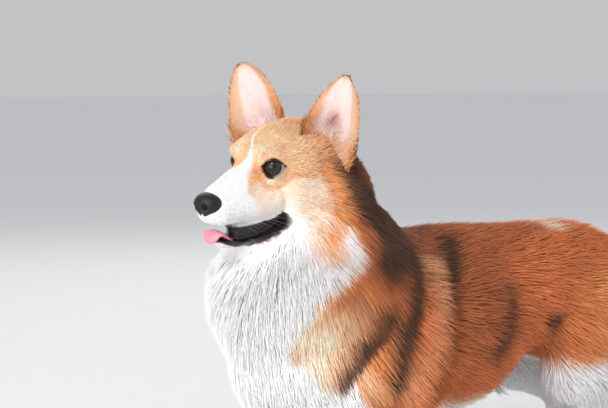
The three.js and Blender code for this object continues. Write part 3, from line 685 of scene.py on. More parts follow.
def lineShare(p, line, width):
    corners = np.array(line, float)
    near = np.full(len(p), 1e9)
    for a, b in zip(corners[:-1], corners[1:]):
        way, off = b - a, p - a
        t = np.clip(off @ way / (way @ way), 0, 1)
        near = np.minimum(near, np.linalg.norm(off - t[:, None] * way, axis=1))
    return np.exp(-((near / width) ** 2))


def creaseShare(p, kind):
    marks = markPlan[kind]
    return np.maximum.reduce([lineShare(p, mark["line"], mark["width"]) * mark["depth"] for mark in marks])


def bump(x, middle, width):
    return np.exp(-(((x - middle) / width) ** 2))


def wobble(p, size, seed=0):
    a, b, c = (p / size + seed).T
    first = np.sin(a + 1.7 * np.sin(b * 0.9))
    return (first + np.sin(b * 1.3 + 1.3 * np.sin(c)) + np.sin(c * 1.1 + 1.1 * np.sin(a * 1.2))) / 3


def paint(base, *coats):
    for name, share in coats:
        base = base + (furColours[name] - base) * np.clip(share, 0, 1)[:, None]
    return base


def bodyColours(p):
    x, y, z = p.T
    rough = wobble(p, 9) * 6 + wobble(p, 23, 3) * 5
    # the saddle over the withers is painted darker: partly its darker hair, partly painted shade
    saddleAndShade = rise(215, 285, z) * (1 - rise(20, 120, x)) * rise(-110, -60, x)
    hind = rise(225, 150, x)
    out = paint(
        np.tile(furColours["rust"], (len(p), 1)),
        ("orange", rise(150, 260, x) * (1 - rise(215, 275, z)) * 0.85),
        ("orange", rise(-60, -125, x) * rise(300, 220, z) * 0.6),
        ("dark", saddleAndShade * 0.75),
        ("dark", rise(0.1, 0.6, wobble(p, 34, 5)) * 0.4 * hind),
        ("dark", rise(0.2, 0.7, wobble(p * (0.5, 1, 1), 9, 2)) * 0.3 * hind),
        ("cream", bump(x, 205, 14) * rise(288, 296, z) * 0.8),  # a pale patch before the croup
    )
    # the shoulder's orange fades through cream into the white bib
    edge = np.interp(z + rough * 0.8, markPlan["whiteHeight"], markPlan["whiteEdge"])
    streak = rise(72, 14, x - edge + rough * 1.6) * rise(268, 225, z) * rise(150, 182, z)
    fade = rise(56, 8, x - edge + rough * 1.4) * rise(252, 220, z) * rise(160, 190, z)
    border = bump(x - edge, 6, 9) * rise(175, 200, z) * 0.5 * (0.6 + 0.4 * wobble(p, 7, 9))
    # white lies on the bib, the belly, behind the thighs and on the legs
    bib = rise(7, -7, x - edge + rough)
    belly = rise(137, 108, z + rough * 0.7) * rise(-20, 20, x)
    belly = np.maximum(belly, rise(154, 128, z + rough) * rise(120, 175, x) * rise(345, 250, x))
    britches = rise(268, 296, x + rough) * rise(232, 205, z)
    white = np.maximum.reduce([bib, belly, britches * 0.85, rise(110, 84, z + rough * 0.6)])
    fleck = np.exp(-(np.linalg.norm(p - (-60, -70, 292), axis=1) / 6.5) ** 2)
    tail = rise(0.3, 1, tailShape["reach"](p) * -0.2 + 0.6) * rise(300, 312, x)
    crease, fold = creaseShare(p, "creases"), creaseShare(p, "folds")
    rough = 1 + 0.3 * wobble(p, 13, 11)
    return paint(
        out,
        ("tan", streak * 1.1),
        ("cream", fade),
        ("orange", border),
        ("cream", np.clip(white * 1.6, 0, 1) * 0.9),
        ("white", rise(0.35, 0.9, white)),
        ("cream", fleck * 0.8),
        ("cream", tail * 0.7),
        # painted shade in the creases
        ("shade", np.clip(crease / 5, 0, 1) * rough * (1 - white) * 2.0),
        # painted light: the raised fold is painted lighter
        ("tan", np.clip(fold / 4, 0, 1) * 0.55 * (1 - white) * rough),
    )


def headColours(h):
    u, v, w = h.T
    side = np.abs(v)
    rough = wobble(h, 5) * 2.5
    # cheeks, from under the eye back to the orange edge
    cheek = rise(-7, -13, w + rough) * rise(-52, -40, u + rough + rise(-10, -60, w) * 5) * rise(16, 24, side)
    # paler marks over the eyes, redder corners that are partly painted shade, and a painted shadow under the
    # eye
    corner = np.linalg.norm(np.stack([u - 14, (side - 15) * 0.8, w + 1], 1), axis=1)
    lid = np.interp(u, (-12, -9, -3, 9, 19), (-9, -12, -17, -17, -6.5))
    under = bump(w, lid, 3.4) * rise(24, 17, u) * rise(-15, -9, u)
    outward = bump(w, -4.4 + 0.16 * (u + 8.5), 2.6) * rise(-8, -13, u) * rise(-44, -34, u)
    whisk = np.linalg.norm(np.stack([u - 8, side - 20, w - 15], 1), axis=1)
    # muzzle and blaze
    middle = np.interp(u, markPlan["blazeU"], markPlan["blazeV"])
    blaze = rise(2.6, 0.8, np.abs(v - middle)) * rise(-26, -14, u) * rise(-10, 0, w)
    near = v - np.interp(u, markPlan["bridgeU"], markPlan["bridgeNear"])
    far = np.interp(u, markPlan["bridgeU"], markPlan["bridgeFar"]) - v
    muzzle = rise(3, -3, np.maximum(near, far) + rough * 0.7) * rise(6, 11, u)
    edge = np.interp(w, (-60, -45, -31, -15, -5), (8, 17, 26, 33.4, 42))
    muzzle = np.maximum(muzzle, rise(-4, 4, u + rough - edge) * rise(-2, -10, w))
    throat = rise(-50, -60, w + rough) * rise(-24, -4, u + rough - (w + 60) * 0.5)
    throat = throat * (1 - 0.5 * bump(u, -2, 16) * bump(w, -62, 14))
    white = np.maximum.reduce([blaze * mixed(0.5, 0.85, rise(-14, 8, u)), muzzle, throat])
    speck = bump(wobble(h, 0.8, 2), 0.75, 0.22) * rise(24, 34, u) * rise(-20, -30, w) * rise(-56, -44, w)
    return paint(
        np.tile(furColours["tan"], (len(h), 1)),
        ("orange", rise(-30, -62, u + rough) * 0.55),
        ("orange", rise(-34, -50, u + rough) * rise(48, 58, side + rise(0, 60, -w) * 12) * 0.85),
        ("rust", rise(-66, -86, u) * 0.8),
        ("dark", rise(-84, -104, u) * 0.7),
        ("cream", cheek * 0.9),
        ("white", cheek * rise(-22, -50, w) * rise(-28, -6, u) * 0.7),
        ("tan", cheek * bump(u, -32, 12) * bump(w, -44, 22) * 0.45),
        ("orange", cheek * bump(u, -50, 7) * rise(-14, -30, w) * 0.5),
        ("cream", bump(u, 7, 7) * bump(side, 16, 6) * bump(w, 19, 8) * 0.8),
        # redder inner corner of the eye, partly painted shade in the hollow
        ("rust", np.exp(-((corner / 7) ** 2)) * 0.7),
        ("orange", under * rise(13, 18, side) * 0.75),
        ("orange", outward * rise(28, 34, side) * 0.6),
        ("shade", np.exp(-((whisk / 2.4) ** 2)) * 0.3),
        ("white", white),
        ("shade", speck * 0.25),
    )


def coatColours(p):
    h, head, leg, tail = parts(p)
    out = bodyColours(p)
    near = head > 0.01
    out[near] = mixed(out[near], headColours(h[near]), head[near][:, None])
    left = p * (1, 0, 1) - np.abs(p) * (0, 1, 0)
    rough = 1 + 0.25 * wobble(p, 11, 7)
    nape = np.maximum.reduce([lineShare(left, line, 21) for line in markPlan["nape"]])
    return paint(
        out,
        # painted shade on the nape and under the ruff, over its darker hair
        ("shade", nape * 1.45 * rough),
        ("tan", lineShare(left, markPlan["cheekTan"], 13) * 0.7 * rough),
        ("orange", lineShare(left, markPlan["cheekEdge"], 9) * 0.95 * rough),
    )


def lipShare(h):
    side = outlineReach(h[:, [0, 2]], mouthPlan["outline"])
    lower = rise(0, -2, h[:, 2] - np.interp(h[:, 0], mouthPlan["lipU"], mouthPlan["betweenW"]))
    down = np.interp(h[:, 0], mouthPlan["lipU"], mouthPlan["lowerLip"]) + 1.3 * wobble(h, 3, 6)
    band = rise(mixed(2.4, down + 0.9, lower), mixed(0.8, down - 0.9, lower), side)
    return band * rise(-14, -9, h[:, 0]) * rise(-38, -40, h[:, 2]), side


def hideColours(p, ear):
    h = carried(toHead, p)
    lip, side = lipShare(h)
    plain, inside = ear == 0, rise(0, -1, side)
    gum = bump(h[:, 0], 15, 9) * bump(side, 5.2, 1.8) * rise(-60, -63, h[:, 2]) * 0.8
    # the inside of the mouth's opening is painted with the lip's black: the black of lips and gums, and
    # painted shade deeper in the mouth
    out = paint(coatColours(p), ("lip", lip * plain), ("gum", gum * plain), ("lip", inside * plain))
    for s in (-1, 1):
        almond, far, ahead = lidReach(h, s)
        close = rise(19, 15, far) * (ahead > 0)
        out = paint(out, ("rim", rise(2.9, 1.7, almond) * close * plain))
    sole = rise(3.2, 1.6, p[:, 2])
    return paint(out, ("pad", sole * plain)), np.maximum(lip, inside) * plain


# Coat: tufts of hair, each a thin flat blade of three sides that follows the lie of the coat


coatLooks = {
    "face": {"share": 0.20, "bends": (0.5,), "clump": 6, "gather": 0.12},
    "cheek": {"share": 0.12, "bends": (0.45,), "clump": 9, "gather": 0.3},
    "ear": {"share": 0.05, "bends": (0.5,), "clump": 5, "gather": 0.15},
    "neck": {"share": 0.16, "bends": (0.45,), "clump": 13, "gather": 0.3},
    "bib": {"share": 0.11, "bends": (0.45,), "clump": 14, "gather": 0.2},
    "shoulder": {"share": 0.12, "bends": (0.45,), "clump": 12, "gather": 0.33},
    "flank": {"share": 0.13, "bends": (0.45,), "clump": 12, "gather": 0.3},
    "rump": {"share": 0.08, "bends": (0.45,), "clump": 12, "gather": 0.33},
    "legs": {"share": 0.07, "bends": (0.5,), "clump": 7, "gather": 0.2},
}
regionNames = tuple(coatLooks)
coatSizes = {
    "triangles": 1420000, "most": 195000, "quickShare": 0.3, "patch": 0.003,
    "flat": 0.42, "sunk": 0.9, "floor": 0.5, "overFloor": 2.5,
}


def regionAt(p, h, head, leg, ear):
    x, y, z = p.T
    out = np.full(len(p), regionNames.index("flank"))
    out[x > 190] = regionNames.index("rump")
    out[(x < 0)] = regionNames.index("shoulder")
    # forward of the shoulder's slope lie the ruff above and the bib below
    out[x < -84 + (z - 230) * 0.35] = regionNames.index("neck")
    out[(x < -84 + (z - 230) * 0.35) & (z < 235)] = regionNames.index("bib")
    out[leg > 0.5] = regionNames.index("legs")
    cheek = (head > 0.5) & ((h[:, 0] < -22) & ((h[:, 2] < 4) | (h[:, 0] < -62)))
    out[head > 0.5] = regionNames.index("face")
    out[cheek] = regionNames.index("cheek")
    out[ear != 0] = regionNames.index("ear")
    return out


def heading(p, x, y, z):
    out = np.empty((len(p), 3))
    out[:, 0], out[:, 1], out[:, 2] = x, y, z
    return out


def lieAt(p, h, n, head, leg, tail, ear):
    x, y, z = p.T
    back = heading(p, 0.95, 0, -0.18 - 0.3 * rise(250, 190, z))
    outwards = 0.25 * np.sign(y) * rise(10, 60, np.abs(y))
    chest = heading(p, 0.42 - 0.42 * rise(-110, -190, x), outwards, -1)
    out = mixed(back, chest, 1 - rise(-135, 30, x)[:, None])
    for way, share in (
        ((0.75, 0, -0.75), rise(170, 215, x) * rise(230, 180, z)),  # thighs
        ((0.35, 0, -0.95), rise(255, 290, x)),  # seat
        ((0.12, 0, -1), leg),
        ((0.95, 0, -0.3), tail),
    ):
        out = mixed(out, heading(p, *way), share[:, None])
    u, v, w = h.T
    face = heading(p, -1, 0.25 * np.sign(v) * rise(4, 20, np.abs(v)) * rise(-20, 40, u), 0)
    cheeks = heading(p, -1, 0.25 * np.sign(v), -0.5)
    face = mixed(face, cheeks, (rise(-14, -34, u) * rise(6, -18, w))[:, None])
    face = mixed(face, heading(p, -0.8, 0, -0.7), (rise(-48, -60, w) * rise(30, 0, u))[:, None])
    out = mixed(out, turnedBy(fromHead, face), head[:, None])
    for s in (-1, 1):
        mine = np.nonzero(ear == s)[0]
        up, opens = earPoint(s, 0.6, 0)[0] - earPoint(s, 0.2, 0)[0], earPoint(s, 0.5, 0)[1]
        up, opens = np.array(up.normalized()), np.array(opens)
        side = np.cross(up, opens)
        inner = turnedBy(toHead, n[mine]) @ opens > 0.1
        across = (h[mine] - np.array(earPoint(s, 0.3, 0)[0])) @ side
        flow = np.where(inner[:, None], up * 0.7 + side * np.sign(across)[:, None] * 0.75 + opens * 0.2, up)
        out[mine] = turnedBy(fromHead, flow)
    stray = heading(p, wobble(p, 31, 1), wobble(p, 27, 4), wobble(p, 36, 8))
    out = out + 0.10 * stray * (1 - head * 0.6)[:, None]
    out = out - (out * n).sum(1, keepdims=True) * n
    return unit(out)


def hairAt(p, h, head, leg, tail, ear):
    x, y, z = p.T
    u, v, w = h.T
    front = 1 - rise(-96, -20, x)
    long = layered(
        24 + 4 * rise(270, 230, z),
        (40, front),
        (30, rise(150, 115, z) * rise(-20, 20, x)),  # belly
        (46, rise(258, 285, x) * rise(246, 215, z)),  # behind the thighs
        (mixed(6.5, 15, rise(30, 80, z)), leg),
        (26, tail),
    )
    lift = layered(8.2, (8.5, front), (mixed(1.3, 3.2, rise(34, 80, z)), leg), (6, tail))
    throat = rise(24, -6, u)
    face = layered(
        mixed(7.5, 3.6, rise(4, 34, u)),
        (13, rise(-24, -44, u) * rise(8, -14, w)),  # cheek
        (25, rise(-46, -72, u) * rise(12, -10, w)),  # the ruff behind it
        (14, rise(-64, -90, u)),
        (20, rise(-52, -66, w) * throat),
    )
    rising = mixed(1.0, 0.55, rise(4, 34, u))
    rising = layered(rising, (4.6, rise(-30, -56, u)), (3.4, rise(-50, -62, w) * throat))
    for s in (-1, 1):
        almond, far, ahead = lidReach(h, s)
        close = rise(24, 13, far)
        face = mixed(face, 2.6, close)
        rising = mixed(rising, 0.35, close)
    long, lift = mixed(long, face, head), mixed(lift, rising, head)
    base, axis = np.array(earPlan["base"]), np.subtract(earPlan["tip"], earPlan["base"])
    up = (np.stack([u, np.where(ear < 0, -v, v), w], 1) - base) @ axis / (axis @ axis)
    foot = rise(0.32, 0.02, up)
    long = np.where(ear != 0, mixed(mixed(4, 2.6, rise(0.7, 0.95, up)), 12, foot), long)
    lift = np.where(ear != 0, mixed(0.5, 2.4, foot), lift)
    wide = np.interp(long, (2.5, 6, 12, 25, 45), (0.34, 0.5, 0.72, 0.95, 1.15))
    return long, lift, wide


def tuftFaces(look):
    return 4 + 6 * len(look["bends"])


def faceTable(mesh):
    mesh.calc_loop_triangles()
    count = len(mesh.loop_triangles)
    corners, loops = np.zeros(count * 3, np.int64), np.zeros(count * 3, np.int64)
    mesh.loop_triangles.foreach_get("vertices", corners)
    mesh.loop_triangles.foreach_get("loops", loops)
    normals = np.zeros(len(mesh.vertices) * 3)
    mesh.vertices.foreach_get("normal", normals)
    uv = np.zeros(len(mesh.loops) * 2)
    mesh.uv_layers["OFBake"].data.foreach_get("uv", uv)
    ear = np.zeros(len(mesh.vertices))
    mesh.attributes["earSide"].data.foreach_get("value", ear)
    return corners.reshape(-1, 3), loops.reshape(-1, 3), normals.reshape(-1, 3), uv.reshape(-1, 2), ear


def bareShare(p, h, ear, head):
    u, v, w = h.T
    bare = np.zeros(len(p))
    for s in (-1, 1):
        almond, far, ahead = lidReach(h, s)
        bare = np.maximum(bare, (almond < 2.4) & (far < 17) & (ahead > 0))
    lip, side = lipShare(h)
    bare = np.maximum(bare, (lip > 0.45) * (ear == 0))
    bare = np.maximum(bare, (side < 0.5) & (u > -9) & (head > 0.5) & (np.abs(v) < 45) & (w < -38) & (w > -76))
    nose = np.linalg.norm((h - headPlan["noseAt"]) / (np.array(headPlan["noseHalf"]) + 1.2), axis=1)
    bare = np.maximum(bare, nose < 1)
    return np.maximum(bare, p[:, 2] < 2.4)


def sowRoots(hide):
    points = pointsOf(hide.data)
    corners, loops, normals, uv, ear = faceTable(hide.data)
    a, b, c = (points[corners[:, i]] for i in range(3))
    area = np.linalg.norm(np.cross(b - a, c - a), axis=1) / 2
    middle = (a + b + c) / 3
    h, head, leg, tail = parts(middle)
    side = ear[corners[:, 0]]
    region = regionAt(middle, h, head, leg, side)
    n = unit(normals[corners].sum(1))
    bare = bareShare(middle, h, side, head)
    density = 1 if fine else coatSizes["quickShare"]
    sown = []
    for index, name in enumerate(regionNames):
        look = coatLooks[name]
        count = int(coatSizes["triangles"] * look["share"] / tuftFaces(look) * density)
        weight = area * (region == index) * (1 - bare)
        if name == "face":
            weight = weight * (1 + 1.6 * rise(-20, 10, h[:, 0]))
        if name == "ear":
            inner = np.zeros(len(weight), bool)
            for s in (-1, 1):
                inner |= (side == s) & (turnedBy(toHead, n) @ np.array(earPoint(s, 0.5, 0)[1]) > 0.1)
            weight = weight * np.where(inner, 0.45, 1)
        reached = np.cumsum(weight) / weight.sum()
        pick = np.searchsorted(reached, (np.arange(count) + dice.random(count)) / count)
        pick = pick.clip(0, len(weight) - 1)
        r, q = np.sqrt(dice.random(count)), dice.random(count)
        share = np.stack([1 - r, r * (1 - q), r * q], 1)[:, :, None]
        spot = (points[corners[pick]] * share).sum(1)
        normal = unit((normals[corners[pick]] * share).sum(1))
        place = (uv[loops[pick]] * share).sum(1)
        sown.append({
            "name": name, "look": look, "root": spot, "normal": normal, "uv": place, "ear": side[pick],
        })
    return sown


def combTufts(patch):
    root, n, ear, look = patch["root"], patch["normal"], patch["ear"], patch["look"]
    count = len(root)
    h, head, leg, tail = parts(root)
    lie = lieAt(root, h, n, head, leg, tail, ear)
    long, lift, wide = hairAt(root, h, head, leg, tail, ear)
    long = long * (0.72 + 0.5 * dice.random(count))
    lift = lift * (0.55 + 0.75 * dice.random(count))
    across = np.cross(n, lie)
    stray = dice.normal(0, 0.13, (count, 1))
    lie = unit(lie + across * stray)
    curve = (dice.random(count) - 0.5) * 0.25
    tip = root + lie * long[:, None] + n * lift[:, None]
    # neighbours gather to a shared tip
    heads = dice.choice(count, max(1, count // (look["clump"] * 4)), replace=False)
    tree = kdtree.KDTree(len(heads))
    for i, j in enumerate(heads):
        tree.insert(root[j], i)
    tree.balance()
    mine = np.array([tree.find(spot)[1] for spot in root])
    goal = tip[heads][mine] + (root - root[heads][mine]) * 0.25
    size = long[heads][mine]
    near = np.exp(-(np.linalg.norm(root - root[heads][mine], axis=1) / (look["clump"] * 0.9)) ** 2)
    tip = mixed(tip, goal, (look["gather"] * near * (0.6 + 0.5 * dice.random(count)))[:, None])
    tone = dice.normal(0, 1, len(heads))[mine] * 0.6 + dice.normal(0, 1, count) * 0.8
    # a tuft stands up at its root and bends over towards its tip
    places, widths = [root - n * coatSizes["sunk"]], [wide * 0.85]
    for t in look["bends"]:
        up = 1 - (1 - t) ** 1.7
        bow = curve * long * t * (1 - t) * 2
        places.append(root + (tip - root) * t + n * (lift * (up - t))[:, None] + across * bow[:, None])
        widths.append(wide * (1.05 - 0.45 * t))
    places.append(tip)
    wayAcross = unit(np.cross(n, tip - root))
    return {"places": places, "widths": widths, "across": wayAcross, "up": n, "tone": tone}


def meshTufts(name, patch, tufts):
    places, widths, across, up = (tufts[k] for k in ("places", "widths", "across", "up"))
    count, rings = len(places[0]), len(places) - 1
    flat = coatSizes["flat"]
    corner = [(-0.5, -0.3 * flat), (0.5, -0.3 * flat), (0.0, 0.8 * flat)]
    per = 3 * rings + 1
    points = np.zeros((count, per, 3))
    for r in range(rings):
        for k, (sideways, upward) in enumerate(corner):
            w = widths[r][:, None]
            points[:, 3 * r + k] = places[r] + across * w * sideways + up * w * upward
    points[:, -1] = places[-1]
    # a tuft that would pass under the floor lies down on it
    high, least, span = points[:, :, 2], coatSizes["floor"], coatSizes["overFloor"]
    lying = least + span * np.exp((np.minimum(high, least + span) - least - span) / span)
    points[:, :, 2] = np.where(high < least + span, lying, high)
    shape = [(0, 2, 1)]
    for r in range(rings - 1):
        for k in range(3):
            a, b = 3 * r + k, 3 * r + (k + 1) % 3
            shape += [(a, b, b + 3), (a, b + 3, a + 3)]
    last = 3 * (rings - 1)
    shape += [(last + k, last + (k + 1) % 3, per - 1) for k in range(3)]
    shape = np.array(shape)
    index = (shape[None] + np.arange(count)[:, None, None] * per).reshape(-1)
    mesh = bpy.data.meshes.new(name)
    mesh.vertices.add(count * per)
    mesh.loops.add(len(index))
    mesh.polygons.add(len(index) // 3)
    placed = (points.reshape(-1, 3) + dogPlan["shift"]) / 1000
    mesh.vertices.foreach_set("co", placed.astype(np.float32).ravel())
    mesh.loops.foreach_set("vertex_index", index.astype(np.int32))
    mesh.polygons.foreach_set("loop_start", np.arange(0, len(index), 3, dtype=np.int32))
    mesh.polygons.foreach_set("loop_total", np.full(len(index) // 3, 3, np.int32))
    mesh.polygons.foreach_set("use_smooth", np.ones(len(index) // 3, bool))
    mesh.update(calc_edges=True)
    # each tuft's patch on the map lies where its root is
    step = coatSizes["patch"]
    grid = np.zeros((per, 2))
    for r in range(rings):
        for k in range(3):
            grid[3 * r + k] = ((k - 1) * 0.5, r / rings - 0.5)
    grid[-1] = (0, 0.5)
    uv = (patch["uv"][:, None, :] + grid[None] * step).clip(0.0005, 0.9995).reshape(-1, 2)
    layer = mesh.uv_layers.new(name="OFBake")
    layer.data.foreach_set("uv", uv[index].astype(np.float32).ravel())
    # light falls on the coat as on a soft whole
    along = unit(places[-1] - places[0])
    top = unit(up - (up * along).sum(1, keepdims=True) * along)
    facing = np.zeros((count, per, 3))
    for k in range(per - 1):
        facing[:, k] = unit(top * 0.9 + across * (-0.5, 0.5, 0)[k % 3])
    facing[:, -1] = top
    mesh.normals_split_custom_set_from_vertices(facing.reshape(-1, 3))
    return mesh, per, rings


def tuftColours(patch, tufts, per, rings):
    root, ear = patch["root"], patch["ear"]
    seen = mixed(root, tufts["places"][-1], np.where(ear == 0, 0.55, 0.2)[:, None])
    base = earColours(root, patch["normal"], ear, coatColours(seen))
    tone = tufts["tone"][:, None]
    pale = rise(0.35, 0.75, base[:, 2:3])
    base = base * (1 + tone * mixed(0.11, 0.02, pale))
    warm = dice.random((len(root), 1)) < 0.12
    base = np.where(warm & (pale < 0.5), base * (1.25, 1.2, 1.15), base)
    shades = np.zeros((len(root), per, 3))
    # each tuft is painted darker at its root, painted shade among the tufts, and lighter towards its tip
    for r in range(rings + 1):
        t = r / rings
        shade = base * mixed(mixed(0.66, 0.97, pale), 1.0, min(1, t * 1.7)) * (1 + 0.14 * t * (1 - pale))
        if r < rings:
            shades[:, 3 * r : 3 * r + 3] = shade[:, None, :]
        else:
            shades[:, -1] = shade
    return shades.reshape(-1, 3).clip(0.004, 0.92)


def setTint(mesh, shades):
    tint = mesh.color_attributes.new("coatTint", "FLOAT_COLOR", "POINT")
    full = np.ones((len(shades), 4), np.float32)
    full[:, :3] = shades
    tint.data.foreach_set("color", full.ravel())


def earColours(p, n, ear, out):
    h = carried(toHead, p)
    for s in (-1, 1):
        mine = np.nonzero(ear == s)[0]
        if not len(mine):
            continue
        base, tip = np.array(earPlan["base"], float), np.array(earPlan["tip"], float)
        base[1], tip[1] = base[1] * s, tip[1] * s
        axis = tip - base
        t = (h[mine] - base) @ axis / (axis @ axis)
        opens = np.array(earPoint(s, 0.5, 0)[1])
        facing = turnedBy(toHead, n[mine]) @ opens
        side = np.cross(axis, opens)
        side = side / np.linalg.norm(side)
        width = earPlan["halfWidth"] * np.clip(1 - np.clip(t, 0, 1) ** 2.3, 0.02, 1) ** 0.62
        a = (h[mine] - base - axis * t[:, None]) @ side / width * s  # towards the outer edge
        tan = np.tile(furColours["tan"], (len(mine), 1))
        outer = paint(tan, ("orange", rise(0.5, 0.0, t) * 0.8))
        middle = rise(0.84, 0.6, np.where(a > 0, a * 1.4, -a)) * rise(0.98, 0.8, t)
        deep = bump(a, -0.15, 0.3) * bump(t, 0.27, 0.17) * (0.75 if s > 0 else 0.2)
        # the folds at the foot are painted as dark lines, painted shade in the folds, in the near ear only
        folds = (0.7 if s > 0 else 0) * np.stack([
            bump(a, -0.32 + 1.1 * (t - 0.18), 0.05) * rise(0.14, 0.2, t) * rise(0.44, 0.34, t),
            bump(a, 0.05 - 0.5 * t, 0.05) * rise(-0.06, 0.0, t) * rise(0.16, 0.1, t),
        ])
        inner = paint(
            tan,
            ("cream", np.full(len(mine), 0.4)),
            ("white", middle * 0.6),
            ("pink", middle * 0.7),
            ("deepPink", deep),
            ("fold", folds[0]),
            ("fold", folds[1]),
            ("orange", rise(0.7, 0.92, np.abs(a)) * 0.6 + rise(0.12, -0.02, t) * 0.6),
            ("orange", rise(-0.5, -0.8, a) * rise(0.6, 0.25, t)),
        )
        out[mine] = mixed(outer, inner, rise(0.0, 0.25, facing)[:, None])
    return out


# Materials


def addNode(tree, kind, values=(), feeds=()):
    node = tree.nodes.new("ShaderNode" + kind)
    for name, value in dict(values).items():
        node.inputs[name].default_value = value
    for name, source in dict(feeds).items():
        tree.links.new(source, node.inputs[name])
    return node


def newMaterial(name, texture, values, look=()):
    material = bpy.data.materials.new(name)
    material.use_nodes = True
    tree = material.node_tree
    place = addNode(tree, "TexCoord")
    grain = addNode(tree, texture, values, {"Vector": place.outputs["Object"]})
    shader = tree.nodes["Principled BSDF"]
    for setting, value in dict(look).items():
        shader.inputs[setting].default_value = value
    return material, tree, grain.outputs[0], shader


def spread(tree, source, low, high):
    return addNode(tree, "MapRange", {"To Min": low, "To Max": high}, {"Value": source}).outputs["Result"]


def ramp(tree, source, stops):
    tone = addNode(tree, "ValToRGB", (), {"Fac": source})
    elements = tone.color_ramp.elements
    for i, (at, rgb) in enumerate(stops):
        element = elements[i] if i < 2 else elements.new(at)
        element.position, element.color = at, (*rgb, 1)
    return tone.outputs["Color"]


def raised(tree, source, strength, distance, invert=False):
    bumps = addNode(tree, "Bump", {"Strength": strength, "Distance": distance}, {"Height": source})
    bumps.invert = invert
    return bumps.outputs["Normal"]


def attribute(tree, name, output):
    node = addNode(tree, "Attribute")
    node.attribute_name = name
    return node.outputs[output]


def tinted(tree, grain, low, high, shader):
    mix = addNode(tree, "VectorMath")
    mix.operation = "SCALE"
    tree.links.new(attribute(tree, "coatTint", "Color"), mix.inputs[0])
    tree.links.new(spread(tree, grain, low, high), mix.inputs["Scale"])
    tree.links.new(mix.outputs["Vector"], shader.inputs["Base Color"])


def furMaterial():
    look = {"Specular IOR Level": 0.22, "Sheen Weight": 0.12, "Sheen Roughness": 0.5}
    material, tree, grain, shader = newMaterial("fur", "TexNoise", {"Scale": 420, "Detail": 3}, look=look)
    tinted(tree, grain, 0.86, 1.14, shader)
    tree.links.new(spread(tree, grain, 0.62, 0.85), shader.inputs["Roughness"])
    return material


def hideMaterial():
    material, tree, grain, shader = newMaterial("hide", "TexNoise", {"Scale": 900, "Detail": 4})
    tinted(tree, grain, 0.75, 1.1, shader)
    moist = attribute(tree, "moist", "Fac")
    tree.links.new(spread(tree, moist, 0.8, 0.28), shader.inputs["Roughness"])
    tree.links.new(raised(tree, grain, 0.5, 0.0006), shader.inputs["Normal"])
    return material


def grainyMaterial(name, texture, values, stops, bump=None, look=()):
    material, tree, grain, shader = newMaterial(name, texture, values, look=look)
    tree.links.new(ramp(tree, grain, stops), shader.inputs["Base Color"])
    if bump:
        tree.links.new(raised(tree, grain, *bump), shader.inputs["Normal"])
    return material


def leatherMaterial():
    stops = [(0, (0.013, 0.012, 0.012)), (1, (0.005, 0.004, 0.005))]
    look = {"Roughness": 0.38, "Specular IOR Level": 0.35}
    return grainyMaterial("noseLeather", "TexVoronoi", {"Scale": 1100}, stops, (0.6, 0.0004, True), look)


def tongueMaterial():
    stops = [(0, colour(232, 150, 160)), (1, colour(214, 122, 138))]
    look = {"Roughness": 0.3, "Subsurface Weight": 0.2, "Subsurface Scale": 0.002}
    return grainyMaterial("tongue", "TexVoronoi", {"Scale": 900}, stops, (0.35, 0.0003), look)


def hornMaterial():
    stops = [(0, (0.012, 0.010, 0.009)), (1, (0.060, 0.048, 0.040))]
    return grainyMaterial("horn", "TexNoise", {"Scale": 350, "Detail": 3}, stops, look={"Roughness": 0.4})


def floorMaterial():
    stops = [(0, (0.91, 0.91, 0.92)), (1, (0.95, 0.95, 0.96))]
    return grainyMaterial("floor", "TexNoise", {"Scale": 30}, stops, look={"Roughness": 0.8})


def eyeMaterial():
    look = {
        "Roughness": 0.3, "Specular IOR Level": 0.15,
        "Coat Weight": 0.6, "Coat IOR": 1.38, "Coat Roughness": 0.02,
    }
    material, tree, grain, shader = newMaterial("eyeball", "TexNoise", {"Scale": 700, "Detail": 4}, look=look)
    streaked = addNode(tree, "Math")
    tree.links.new(attribute(tree, "fromPupil", "Fac"), streaked.inputs[0])
    tree.links.new(spread(tree, grain, -0.04, 0.04), streaked.inputs[1])
    # pupil, iris, its dark rim, and the white
    stops = [
        (0.0, (0.004, 0.004, 0.005)), (0.27, (0.005, 0.004, 0.005)),
        (0.33, (0.022, 0.010, 0.007)), (0.55, (0.042, 0.019, 0.012)),
        (0.68, (0.018, 0.009, 0.007)), (0.77, (0.005, 0.004, 0.004)),
        (0.83, (0.22, 0.22, 0.25)), (0.95, (0.42, 0.42, 0.46)),
    ]
    tree.links.new(ramp(tree, streaked.outputs["Value"], stops), shader.inputs["Base Color"])
    return material


# Nose, tongue, eyes and whiskers


def noseReach(h):
    ball = ellipsoid(headPlan["noseAt"], headPlan["noseHalf"])
    body = blend(4, ball, limb((68, 0, -35), (65.5, 0, -41.5), 6.5, 3.5))["reach"](h)
    for s in (-1, 1):
        path = [(72, 4.6, -28), (79, 5.8, -27.8), (78, 9.5, -29.8), (73.5, 13.6, -31.2), (68, 16.6, -30.4)]
        thick = [3.3, 3.0, 2.1, 1.5, 1.0]
        holes = [
            limb((a[0], s * a[1], a[2]), (b[0], s * b[1], b[2]), ra, rb)
            for a, b, ra, rb in zip(path, path[1:], thick, thick[1:])
        ]
        body = -softMin(-body, blend(1, *holes)["reach"](h), 1.6)
    groove = limb((82, 0, -24), (72, 0, -44), 0.9, 0.9)["reach"](h)
    return -softMin(-body, groove, 2.4)


